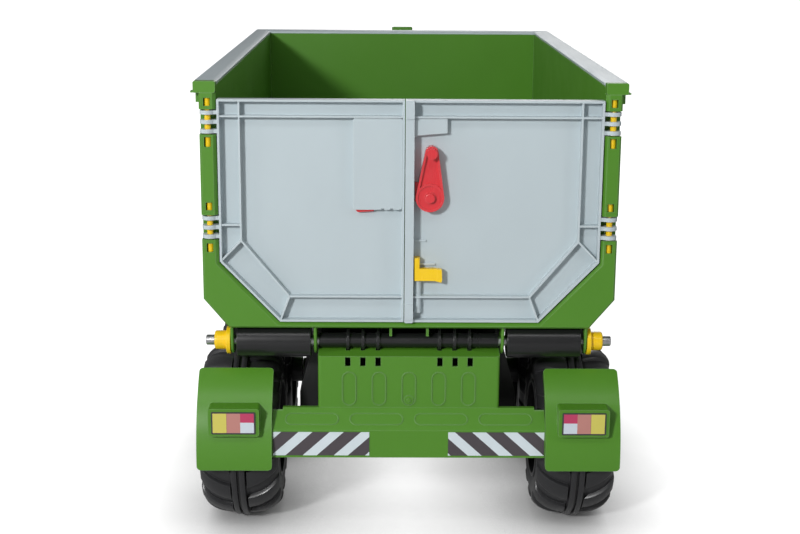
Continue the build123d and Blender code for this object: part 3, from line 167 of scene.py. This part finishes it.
def grain_group():
    """Colour, roughness and height of a moulded skin, from a mould's grain and handling marks, and a
    painted highlight on its edges.
    """
    group = bpy.data.node_groups.new("moulded_skin", "ShaderNodeTree")
    for name, kind, value in (
        ("Colour", "NodeSocketColor", (0.5, 0.5, 0.5, 1)),
        ("Variation", "NodeSocketFloat", 0.06),
        ("Roughness", "NodeSocketFloat", 0.35),
        ("Grain Size", "NodeSocketFloat", 1400.0),
        ("Painted Edge Highlight", "NodeSocketFloat", 0.25),
    ):
        group.interface.new_socket(name, in_out="INPUT", socket_type=kind).default_value = value
    for name, kind in (
        ("Colour", "NodeSocketColor"),
        ("Roughness", "NodeSocketFloat"),
        ("Height", "NodeSocketFloat"),
    ):
        group.interface.new_socket(name, in_out="OUTPUT", socket_type=kind)
    node, link = group.nodes.new, group.links.new
    given = node("NodeGroupInput")
    result = node("NodeGroupOutput")
    place = node("ShaderNodeTexCoord")
    # slow drift of shade over the whole moulding
    drift = node("ShaderNodeTexNoise")
    drift.inputs["Scale"].default_value = 7
    drift.inputs["Detail"].default_value = 4
    link(place.outputs["Object"], drift.inputs["Vector"])
    # faint flow lines, a little longer one way than the other
    stretch = node("ShaderNodeMapping")
    stretch.inputs["Scale"].default_value = (14, 5, 6)
    link(place.outputs["Object"], stretch.inputs["Vector"])
    flow = node("ShaderNodeTexNoise")
    flow.inputs["Scale"].default_value = 1.5
    flow.inputs["Detail"].default_value = 3
    link(stretch.outputs["Vector"], flow.inputs["Vector"])
    both = node("ShaderNodeMath")
    both.operation = "ADD"
    link(drift.outputs["Fac"], both.inputs[0])
    link(flow.outputs["Fac"], both.inputs[1])
    shade = node("ShaderNodeMapRange")
    shade.inputs["From Min"].default_value = 0.6
    shade.inputs["From Max"].default_value = 1.4
    low = node("ShaderNodeMath")
    low.operation = "SUBTRACT"
    low.inputs[0].default_value = 1.0
    link(given.outputs["Variation"], low.inputs[1])
    high = node("ShaderNodeMath")
    high.inputs[0].default_value = 1.0
    link(given.outputs["Variation"], high.inputs[1])
    link(both.outputs["Value"], shade.inputs["Value"])
    link(low.outputs["Value"], shade.inputs["To Min"])
    link(high.outputs["Value"], shade.inputs["To Max"])
    tinted = node("ShaderNodeVectorMath")
    tinted.operation = "SCALE"
    link(given.outputs["Colour"], tinted.inputs[0])
    link(shade.outputs["Result"], tinted.inputs["Scale"])
    # painted highlight: edges made a little paler
    rounded = node("ShaderNodeBevel")
    rounded.samples = 4
    rounded.inputs["Radius"].default_value = 0.0014
    facing = node("ShaderNodeNewGeometry")
    cosine = node("ShaderNodeVectorMath")
    cosine.operation = "DOT_PRODUCT"
    link(rounded.outputs["Normal"], cosine.inputs[0])
    link(facing.outputs["Normal"], cosine.inputs[1])
    edge = node("ShaderNodeMapRange")
    edge.inputs["From Min"].default_value = 0.995
    edge.inputs["From Max"].default_value = 0.90
    link(cosine.outputs["Value"], edge.inputs["Value"])
    edge_highlight_amount = node("ShaderNodeMath")
    edge_highlight_amount.operation = "MULTIPLY"
    link(edge.outputs["Result"], edge_highlight_amount.inputs[0])
    link(given.outputs["Painted Edge Highlight"], edge_highlight_amount.inputs[1])
    paler = node("ShaderNodeMix")
    paler.data_type = "RGBA"
    paler.blend_type = "SCREEN"
    paler.inputs["B"].default_value = (0.35, 0.37, 0.36, 1)
    link(edge_highlight_amount.outputs["Value"], paler.inputs["Factor"])
    link(tinted.outputs["Vector"], paler.inputs["A"])
    link(paler.outputs["Result"], result.inputs["Colour"])
    # handling smears and hair scratches in the gloss
    smear = node("ShaderNodeTexNoise")
    smear.inputs["Scale"].default_value = 9
    smear.inputs["Detail"].default_value = 6
    link(place.outputs["Object"], smear.inputs["Vector"])
    hairs = node("ShaderNodeTexNoise")
    hairs.inputs["Scale"].default_value = 1.0
    hairs.inputs["Detail"].default_value = 2
    hair_place = node("ShaderNodeMapping")
    hair_place.inputs["Rotation"].default_value = (0.4, 0.2, 0.7)
    hair_place.inputs["Scale"].default_value = (260, 20, 26)
    link(place.outputs["Object"], hair_place.inputs["Vector"])
    link(hair_place.outputs["Vector"], hairs.inputs["Vector"])
    marks = node("ShaderNodeMath")
    marks.operation = "MULTIPLY"
    link(smear.outputs["Fac"], marks.inputs[0])
    link(hairs.outputs["Fac"], marks.inputs[1])
    spread = node("ShaderNodeMapRange")
    spread.inputs["From Min"].default_value = 0.1
    spread.inputs["From Max"].default_value = 0.45
    spread.inputs["To Min"].default_value = -0.03
    spread.inputs["To Max"].default_value = 0.05
    link(marks.outputs["Value"], spread.inputs["Value"])
    gloss = node("ShaderNodeMath")
    link(given.outputs["Roughness"], gloss.inputs[0])
    link(spread.outputs["Result"], gloss.inputs[1])
    link(gloss.outputs["Value"], result.inputs["Roughness"])
    # grain that the spark-eroded mould gives, and slow waves where the wall sinks
    grain = node("ShaderNodeTexNoise")
    grain.inputs["Detail"].default_value = 2
    link(place.outputs["Object"], grain.inputs["Vector"])
    link(given.outputs["Grain Size"], grain.inputs["Scale"])
    sink = node("ShaderNodeTexNoise")
    sink.inputs["Scale"].default_value = 11
    link(place.outputs["Object"], sink.inputs["Vector"])
    deep = node("ShaderNodeMath")
    deep.operation = "MULTIPLY"
    deep.inputs[1].default_value = 9.0
    link(sink.outputs["Fac"], deep.inputs[0])
    relief = node("ShaderNodeMath")
    link(grain.outputs["Fac"], relief.inputs[0])
    link(deep.outputs["Value"], relief.inputs[1])
    link(relief.outputs["Value"], result.inputs["Height"])
    return group


skin = grain_group()


def plastic(name, colour, roughness, grain_size=1400, variation=0.05, edge_highlight=0.2, coat=0.0):
    """A moulded plastic whose colour, gloss and relief come from the moulded skin."""
    material = bpy.data.materials.new(name)
    material.use_nodes = True
    tree = material.node_tree
    shader = tree.nodes["Principled BSDF"]
    look = tree.nodes.new("ShaderNodeGroup")
    look.node_tree = skin
    look.inputs["Colour"].default_value = (*colour, 1)
    look.inputs["Roughness"].default_value = roughness
    look.inputs["Grain Size"].default_value = grain_size
    look.inputs["Variation"].default_value = variation
    # the edge amount sets a painted highlight along the edges
    look.inputs["Painted Edge Highlight"].default_value = edge_highlight
    bump = tree.nodes.new("ShaderNodeBump")
    bump.inputs["Strength"].default_value = 0.35
    bump.inputs["Distance"].default_value = 0.00004
    tree.links.new(look.outputs["Colour"], shader.inputs["Base Color"])
    tree.links.new(look.outputs["Roughness"], shader.inputs["Roughness"])
    tree.links.new(look.outputs["Height"], bump.inputs["Height"])
    tree.links.new(bump.outputs["Normal"], shader.inputs["Normal"])
    shader.inputs["IOR"].default_value = 1.49
    shader.inputs["Coat Weight"].default_value = coat
    shader.inputs["Coat Roughness"].default_value = 0.20
    return material


def paint(material, *names):
    """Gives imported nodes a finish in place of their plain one."""
    for name in names:
        for place in nodes[name].material_slots:
            place.material = material


crease_angle = 50


def softened(name, body, material, radius, sharp=35, steps=2):
    """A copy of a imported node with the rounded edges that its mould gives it.

    Edges over sharp degrees are rounded, and flat faces keep their own normals.
    """
    shape = bmesh.new()
    shape.from_mesh(nodes[name].data)
    bmesh.ops.remove_doubles(shape, verts=shape.verts, dist=1e-5)
    bmesh.ops.dissolve_limit(shape, angle_limit=radians(0.6), verts=shape.verts, edges=shape.edges)
    mesh = bpy.data.meshes.new(name + "_moulded")
    shape.to_mesh(mesh)
    shape.free()
    rough_cut = bpy.data.objects.new(name + "_rough", mesh)
    bpy.context.collection.objects.link(rough_cut)
    rounding = rough_cut.modifiers.new("edges", "BEVEL")
    rounding.width = radius
    rounding.segments = steps
    rounding.limit_method = "ANGLE"
    rounding.angle_limit = radians(sharp)
    rounding.use_clamp_overlap = True
    mesh.shade_smooth()
    mesh.set_sharp_from_angle(angle=radians(crease_angle))
    levelled = rough_cut.modifiers.new("flat_faces", "WEIGHTED_NORMAL")
    levelled.keep_sharp = True
    levelled.weight = 100
    bpy.context.view_layer.update()
    cast = bpy.data.meshes.new_from_object(rough_cut.evaluated_get(bpy.context.evaluated_depsgraph_get()))
    cast.materials.clear()
    cast.materials.append(material)
    piece = bpy.data.objects.new(name + "_moulded", cast)
    bpy.data.objects.remove(rough_cut)
    bpy.context.collection.objects.link(piece)
    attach(piece, body)
    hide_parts(name)
    return piece


green = plastic("green_polypropylene", (0.078, 0.240, 0.017), 0.36, variation=0.025, coat=0.12)
for name in ("tub_shell", "pivot_bracket_left", "pivot_bracket_right", "lock_guides"):
    softened(name, "tub", green, 0.0012)
for name in ("corner_cap_left", "corner_cap_right"):
    softened(name, "tub", green, 0.0008)

# ---- rim strips -----------------------------------------------------------------------
# Three grey strips clipped over the tub's flange and mitred at the front corners, in the
# same satin plastic as the doors.

grey = plastic("grey_polypropylene", (0.49, 0.565, 0.595), 0.36, variation=0.025, edge_highlight=0.5)
for name in ("rim_strip_left", "rim_strip_right", "rim_strip_front"):
    softened(name, "tub", grey, 0.0006)

# ---- doors ----------------------------------------------------------------------------
# Two grey trays with a rib ring inside their flange. The right one carries the centre
# strip, the latch's post and the bolt's channel, and each has a flat cover over the latch.

softened("door_left", "left_door", grey, 0.0006)
softened("door_right", "right_door", grey, 0.0006)
softened("latch_cover_left", "left_door", grey, 0.0005)
softened("latch_cover_right", "right_door", grey, 0.0005)

# ---- latch, bolt and lock -------------------------------------------------------------
# A red lever turns the latch and a yellow bolt holds the doors' lower ends. The tub lock
# is a green rod with a T handle.

red = plastic("red_nylon", (0.67, 0.035, 0.045), 0.28, variation=0.03, edge_highlight=0.12, coat=0.2)
yellow = plastic("yellow_nylon", (0.93, 0.60, 0.008), 0.27, variation=0.03, edge_highlight=0.1, coat=0.3)
softened("latch_lever", "latch", red, 0.0006)
softened("lever_cap", "right_door", red, 0.0003)
softened("latch_catch", "left_door", red, 0.0004)
softened("slide_bolt", "bolt", yellow, 0.0007)
softened("lock_rod", "tub_lock", green, 0.0006)

# ---- hinge pins and pivot -------------------------------------------------------------
# Yellow pins show in the windows of the posts. A steel rod carries the tub in a finned
# black tube, between black spacer sleeves, and ends in two yellow hubs.

black = plastic("black_polypropylene", (0.011, 0.011, 0.012), 0.30, variation=0.12, edge_highlight=0.06, coat=0.3)
for name in ("hinge_pin_left", "hinge_pin_right", "pivot_hub_left", "pivot_hub_right"):
    softened(name, "tub", yellow, 0.0006)
for name in ("spacer_sleeve_left", "spacer_sleeve_right"):
    softened(name, "tub", black, 0.0006, sharp=50)
softened("pivot_tube", "chassis", black, 0.0005, sharp=50)

def zinc():
    """Zinc-plated steel, cloudy and brushed along the rods."""
    material = bpy.data.materials.new("zinc_plate")
    material.use_nodes = True
    tree = material.node_tree
    node, link = tree.nodes.new, tree.links.new
    shader = tree.nodes["Principled BSDF"]
    place = node("ShaderNodeTexCoord")
    brushing = node("ShaderNodeMapping")
    brushing.inputs["Scale"].default_value = (40, 1200, 1200)
    link(place.outputs["Object"], brushing.inputs["Vector"])
    lines = node("ShaderNodeTexNoise")
    lines.inputs["Scale"].default_value = 1.0
    link(brushing.outputs["Vector"], lines.inputs["Vector"])
    cloud = node("ShaderNodeTexNoise")
    cloud.inputs["Scale"].default_value = 140
    link(place.outputs["Object"], cloud.inputs["Vector"])
    tone = node("ShaderNodeValToRGB")
    tone.color_ramp.elements[0].position = 0.3
    tone.color_ramp.elements[0].color = (0.50, 0.50, 0.51, 1)
    tone.color_ramp.elements[1].position = 0.75
    tone.color_ramp.elements[1].color = (0.72, 0.73, 0.74, 1)
    link(cloud.outputs["Fac"], tone.inputs["Fac"])
    link(tone.outputs["Color"], shader.inputs["Base Color"])
    gloss = node("ShaderNodeMapRange")
    gloss.inputs["To Min"].default_value = 0.22
    gloss.inputs["To Max"].default_value = 0.46
    link(lines.outputs["Fac"], gloss.inputs["Value"])
    link(gloss.outputs["Result"], shader.inputs["Roughness"])
    bump = node("ShaderNodeBump")
    bump.inputs["Strength"].default_value = 0.2
    bump.inputs["Distance"].default_value = 0.00003
    link(lines.outputs["Fac"], bump.inputs["Height"])
    link(bump.outputs["Normal"], shader.inputs["Normal"])
    shader.inputs["Metallic"].default_value = 1.0
    return material


steel = zinc()
softened("pivot_rod", "tub", steel, 0.0003, sharp=50)

# ---- rear housing and bumper ----------------------------------------------------------
# Two green shells at the chassis's rear end. Their raised outlines are moulded in, and a
# screw holds the housing.

softened("rear_housing", "chassis", green, 0.0012)
softened("rear_bumper", "chassis", green, 0.0012)
softened("housing_screw", "chassis", green, 0.0004)
paint(steel, "carrier_bolts", "drawbar_bolts", "axle_rear", "axle_front", "hitch_bush")

# ---- warning stripes ------------------------------------------------------------------
# Two printed films on the bumper, one at each side of its middle. Their dark bars on white
# lean towards the middle at the top.

bar_pitch = 0.0360
bar_share = 0.55
bar_slope = 1.10


def stripes(name, side, start):
    """Slanted dark bars on white in the film's own plane, shifted by start of a pitch."""
    material = bpy.data.materials.new(name)
    material.use_nodes = True
    tree = material.node_tree
    node, link = tree.nodes.new, tree.links.new
    shader = tree.nodes["Principled BSDF"]
    place = node("ShaderNodeTexCoord")
    parts = node("ShaderNodeSeparateXYZ")
    link(place.outputs["Object"], parts.inputs["Vector"])
    lean = node("ShaderNodeMath")
    lean.operation = "MULTIPLY_ADD"
    lean.inputs[1].default_value = side * bar_slope
    link(parts.outputs["Z"], lean.inputs[0])
    link(parts.outputs["X"], lean.inputs[2])
    run = node("ShaderNodeMath")
    run.operation = "MULTIPLY_ADD"
    run.inputs[1].default_value = 1 / bar_pitch
    run.inputs[2].default_value = start
    link(lean.outputs["Value"], run.inputs[0])
    share = node("ShaderNodeMath")
    share.operation = "FRACT"
    link(run.outputs["Value"], share.inputs[0])
    bar = node("ShaderNodeValToRGB")
    bar.color_ramp.interpolation = "CONSTANT"
    bar.color_ramp.elements[0].color = (0.072, 0.061, 0.069, 1)
    bar.color_ramp.elements[1].position = bar_share
    bar.color_ramp.elements[1].color = (0.65, 0.73, 0.77, 1)
    link(share.outputs["Value"], bar.inputs["Fac"])
    ink = node("ShaderNodeTexNoise")
    ink.inputs["Scale"].default_value = 60
    link(place.outputs["Object"], ink.inputs["Vector"])
    fade = node("ShaderNodeMapRange")
    fade.inputs["To Min"].default_value = 0.94
    fade.inputs["To Max"].default_value = 1.04
    link(ink.outputs["Fac"], fade.inputs["Value"])
    tinted = node("ShaderNodeVectorMath")
    tinted.operation = "SCALE"
    link(bar.outputs["Color"], tinted.inputs[0])
    link(fade.outputs["Result"], tinted.inputs["Scale"])
    link(tinted.outputs["Vector"], shader.inputs["Base Color"])
    gloss = node("ShaderNodeMapRange")
    gloss.inputs["To Min"].default_value = 0.30
    gloss.inputs["To Max"].default_value = 0.42
    link(ink.outputs["Fac"], gloss.inputs["Value"])
    link(gloss.outputs["Result"], shader.inputs["Roughness"])
    return material


paint(stripes("striped_film_left", -1, 0.367), "stripe_panel_left")
paint(stripes("striped_film_right", 1, 0.230), "stripe_panel_right")

# ---- fenders and lamps ----------------------------------------------------------------
# Glossy green shells over the rear wheels, each with a raised box. Its lamp is a printed
# film: yellow outside, salmon in the middle, red over white inside, in a dark frame.

for name in ("fender_left", "fender_right"):
    softened(name, "chassis", green, 0.0024, sharp=32, steps=3)


def lamp_film(name, side):
    """The lamp's printed fields, laid out from the lens's own box."""
    low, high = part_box("lamp_lens_" + name)
    material = bpy.data.materials.new("lamp_film_" + name)
    material.use_nodes = True
    tree = material.node_tree
    node, link = tree.nodes.new, tree.links.new
    shader = tree.nodes["Principled BSDF"]
    place = node("ShaderNodeTexCoord")
    parts = node("ShaderNodeSeparateXYZ")
    link(place.outputs["Object"], parts.inputs["Vector"])
    across = node("ShaderNodeMapRange")
    inner, outer = (high[0], low[0]) if side < 0 else (low[0], high[0])
    across.inputs["From Min"].default_value = inner
    across.inputs["From Max"].default_value = outer
    link(parts.outputs["X"], across.inputs["Value"])
    upward = node("ShaderNodeMapRange")
    upward.inputs["From Min"].default_value = low[2]
    upward.inputs["From Max"].default_value = high[2]
    link(parts.outputs["Z"], upward.inputs["Value"])

    def steps(source, *stops):
        ramp = node("ShaderNodeValToRGB")
        ramp.color_ramp.interpolation = "CONSTANT"
        while len(ramp.color_ramp.elements) < len(stops):
            ramp.color_ramp.elements.new(0.5)
        for element, (position, colour) in zip(ramp.color_ramp.elements, stops):
            element.position = position
            element.color = (*colour, 1)
        link(source.outputs["Result"], ramp.inputs["Fac"])
        return ramp

    border = (0.045, 0.042, 0.048)
    red_field = (0.50, 0.045, 0.12)
    white_field = (0.60, 0.66, 0.73)
    salmon = (0.50, 0.22, 0.19)
    amber = (0.62, 0.56, 0.11)
    seam = (0.3, 0.12, 0.1)
    outward = ((0.34, salmon), (0.645, seam), (0.655, amber), (0.965, border))
    above = steps(across, (0.0, border), (0.035, red_field), *outward)
    below = steps(across, (0.0, border), (0.035, white_field), *outward)
    half = steps(upward, (0.0, (0, 0, 0)), (0.53, (1, 1, 1)))
    edge = steps(upward, (0.0, (1, 1, 1)), (0.06, (0, 0, 0)), (0.94, (1, 1, 1)))
    fields = node("ShaderNodeMix")
    fields.data_type = "RGBA"
    link(half.outputs["Color"], fields.inputs["Factor"])
    link(below.outputs["Color"], fields.inputs["A"])
    link(above.outputs["Color"], fields.inputs["B"])
    framed = node("ShaderNodeMix")
    framed.data_type = "RGBA"
    framed.inputs["B"].default_value = (*border, 1)
    link(edge.outputs["Color"], framed.inputs["Factor"])
    link(fields.outputs["Result"], framed.inputs["A"])
    link(framed.outputs["Result"], shader.inputs["Base Color"])
    # fine prisms like those behind a lamp's glass
    prisms = node("ShaderNodeTexChecker")
    prisms.inputs["Scale"].default_value = 700
    link(place.outputs["Object"], prisms.inputs["Vector"])
    gloss = node("ShaderNodeMapRange")
    gloss.inputs["To Min"].default_value = 0.16
    gloss.inputs["To Max"].default_value = 0.24
    link(prisms.outputs["Fac"], gloss.inputs["Value"])
    link(gloss.outputs["Result"], shader.inputs["Roughness"])
    shader.inputs["Coat Weight"].default_value = 0.4
    return material


paint(lamp_film("left", -1), "lamp_lens_left")
paint(lamp_film("right", 1), "lamp_lens_right")

# ---- chassis --------------------------------------------------------------------------
# Black plastic under the tub: an upturned channel with cross arms, two axle carriers, and
# the drawbar with its steel-bushed eye.

frame_black = plastic(
    "black_chassis", (0.014, 0.014, 0.015), 0.42, grain_size=900, variation=0.15, edge_highlight=0.08
)
for name in ("chassis_frame", "axle_carrier_left", "axle_carrier_right", "drawbar", "lock_keeper"):
    softened(name, "chassis", frame_black, 0.0010)
rubber = plastic("rest_rubber", (0.02, 0.02, 0.02), 0.7, grain_size=600, edge_highlight=0.0)
paint(rubber, "rest_pads")
paint(yellow, "hub_caps")

# ---- wheels ---------------------------------------------------------------------------
# Each tyre is a blow-moulded shell with round shoulders, a double rib round its middle and
# broad slanted lugs that run over both shoulders. It sits on a black dished wheel.

tyre_skin = plastic(
    "tyre_plastic", (0.022, 0.022, 0.024), 0.38, grain_size=1100, variation=0.10, edge_highlight=0.05, coat=0.15
)
wheel_black = plastic("wheel_black", (0.016, 0.016, 0.018), 0.34, variation=0.08, edge_highlight=0.1, coat=0.2)

crown = 0.0990
shoulder_start, shoulder_end, shoulder_drop = 0.0100, 0.0462, 0.0230


def shoulder_at(share):
    """Place on the carcass from the crown's edge (0) over the shoulder to the sidewall (1)."""
    angle = share * pi / 2
    return (
        shoulder_start + (shoulder_end - shoulder_start) * sin(angle) ** 0.92,
        crown - shoulder_drop * (1 - cos(angle) ** 0.92),
    )


half_section = [(0.0, 0.1018), (0.0012, 0.1018), (0.0017, 0.1058), (0.0024, 0.1064), (0.0070, 0.1064)]
half_section += [(0.0078, 0.1058), (0.0086, 0.0996), (0.0093, 0.0990)]
half_section += [shoulder_at(k / 12) for k in range(13)]
half_section += [(0.0461, 0.0700), (0.0452, 0.0650), (0.0438, 0.0618), (0.0425, 0.0602), (0.0400, 0.0601)]
section = half_section + [(-x, r) for x, r in reversed(half_section[1:])]
around = 120
shape = bmesh.new()
angles = [2 * pi * k / around for k in range(around)]
rings = [[shape.verts.new((x, r * sin(angle), r * cos(angle))) for angle in angles] for x, r in section]
for one, two in zip(rings, rings[1:] + rings[:1]):
    for k in range(around):
        shape.faces.new((one[k - 1], one[k], two[k], two[k - 1]))
bmesh.ops.recalc_face_normals(shape, faces=shape.faces)
carcass_mesh = bpy.data.meshes.new("carcass")
shape.to_mesh(carcass_mesh)
shape.free()
carcass_mesh.materials.append(tyre_skin)
carcass = bpy.data.objects.new("carcass", carcass_mesh)
bpy.context.collection.objects.link(carcass)

lug_height = 0.0050
lug_half_angle = radians(7.6)
lug_lean = radians(13)
lug_foot = -0.0016
across_lug = [(-1.0, lug_foot), (-0.93, 0.0026), (-0.84, 0.0044), (-0.66, lug_height), (0.0, lug_height)]
across_lug += [(-share, rise) for share, rise in reversed(across_lug[:-1])]
lug_rows = 11
lug_reach = 0.93
lug_spread = 0.55


def lug(name, end):
    """One lug on the shoulder towards end (+1 or -1), standing over the axle."""
    shape = bmesh.new()
    rows = []
    for row in range(lug_rows):
        share = row / (lug_rows - 1)
        x, r = shoulder_at(share * lug_reach)
        ahead = shoulder_at(share * lug_reach + 0.01)
        run, fall = ahead[0] - x, ahead[1] - r
        length = (run * run + fall * fall) ** 0.5
        out_x, out_r = -fall / length, run / length
        fade = min(1.0, (1 - share) * 5 + 0.15)
        row_verts = []
        for place, rise in across_lug:
            lift = rise * fade if rise > 0 else rise
            angle = lug_lean * share + place * lug_half_angle * (1 - 0.12 * share)
            radius = r + out_r * lift
            sideways = end * (x + out_x * lift * lug_spread)
            row_verts.append(shape.verts.new((sideways, radius * sin(angle), radius * cos(angle))))
        rows.append(row_verts)
    for one, two in zip(rows, rows[1:]):
        for k in range(len(across_lug) - 1):
            shape.faces.new((one[k], one[k + 1], two[k + 1], two[k]))
        shape.faces.new((one[-1], one[0], two[0], two[-1]))
    shape.faces.new(rows[0])
    shape.faces.new(rows[-1])
    bmesh.ops.recalc_face_normals(shape, faces=shape.faces)
    mesh = bpy.data.meshes.new(name)
    shape.to_mesh(mesh)
    shape.free()
    made = bpy.data.objects.new(name, mesh)
    bpy.context.collection.objects.link(made)
    return made


def lug_ring():
    """Geometry nodes that set copies of a lug round the axle and join them to the carcass."""
    ring = bpy.data.node_groups.new("lug_ring", "GeometryNodeTree")
    for name, kind in (
        ("Geometry", "NodeSocketGeometry"),
        ("Lug", "NodeSocketObject"),
        ("Count", "NodeSocketInt"),
        ("Turn", "NodeSocketFloat"),
        ("Material", "NodeSocketMaterial"),
    ):
        ring.interface.new_socket(name, in_out="INPUT", socket_type=kind)
    ring.interface.new_socket("Geometry", in_out="OUTPUT", socket_type="NodeSocketGeometry")
    node, link = ring.nodes.new, ring.links.new
    given = node("NodeGroupInput")
    result = node("NodeGroupOutput")
    points = node("GeometryNodeMeshLine")
    points.inputs["Offset"].default_value = (0, 0, 0)
    link(given.outputs["Count"], points.inputs["Count"])
    lug_shape = node("GeometryNodeObjectInfo")
    link(given.outputs["Lug"], lug_shape.inputs["Object"])
    number = node("GeometryNodeInputIndex")
    share = node("ShaderNodeMath")
    share.operation = "DIVIDE"
    link(number.outputs["Index"], share.inputs[0])
    link(given.outputs["Count"], share.inputs[1])
    angle = node("ShaderNodeMath")
    angle.operation = "MULTIPLY_ADD"
    angle.inputs[1].default_value = 2 * pi
    link(share.outputs["Value"], angle.inputs[0])
    link(given.outputs["Turn"], angle.inputs[2])
    turned = node("FunctionNodeAxisAngleToRotation")
    turned.inputs["Axis"].default_value = (1, 0, 0)
    link(angle.outputs["Value"], turned.inputs["Angle"])
    copies = node("GeometryNodeInstanceOnPoints")
    link(points.outputs["Mesh"], copies.inputs["Points"])
    link(lug_shape.outputs["Geometry"], copies.inputs["Instance"])
    link(turned.outputs["Rotation"], copies.inputs["Rotation"])
    both = node("GeometryNodeJoinGeometry")
    link(given.outputs["Geometry"], both.inputs["Geometry"])
    link(copies.outputs["Instances"], both.inputs["Geometry"])
    plain = node("GeometryNodeRealizeInstances")
    link(both.outputs["Geometry"], plain.inputs["Geometry"])
    coloured = node("GeometryNodeSetMaterial")
    link(plain.outputs["Geometry"], coloured.inputs["Geometry"])
    link(given.outputs["Material"], coloured.inputs["Material"])
    link(coloured.outputs["Geometry"], result.inputs["Geometry"])
    return ring


ring = lug_ring()
sockets = {item.name: item.identifier for item in ring.interface.items_tree if item.in_out == "INPUT"}
lug_count = 15
lugs = []
for end, turn in ((1, pi / lug_count), (-1, 0.0)):
    lugs.append(lug(f"lug_{end}", end))
    setting = carcass.modifiers.new(f"lugs_{end}", "NODES")
    setting.node_group = ring
    setting[sockets["Lug"]] = lugs[-1]
    setting[sockets["Count"]] = lug_count
    setting[sockets["Turn"]] = turn
    setting[sockets["Material"]] = tyre_skin
bpy.context.view_layer.update()
tread = bpy.data.meshes.new_from_object(carcass.evaluated_get(bpy.context.evaluated_depsgraph_get()))
for spare in (carcass, *lugs):
    bpy.data.objects.remove(spare)
for axle in ("rear", "front"):
    for side in ("left", "right"):
        low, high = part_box(f"tyre_{axle}_{side}")
        mesh = tread.copy()
        mesh.transform(Matrix.Translation([(low[k] + high[k]) / 2 for k in range(3)]))
        mesh.shade_smooth()
        mesh.set_sharp_from_angle(angle=radians(42))
        mesh.materials.clear()
        mesh.materials.append(tyre_skin)
        tyre = bpy.data.objects.new(f"tyre_{axle}_{side}_moulded", mesh)
        bpy.context.collection.objects.link(tyre)
        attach(tyre, f"wheel_{axle}_{side}")
        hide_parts(f"tyre_{axle}_{side}")
        softened(f"wheel_rim_{axle}_{side}", f"wheel_{axle}_{side}", wheel_black, 0.0008)
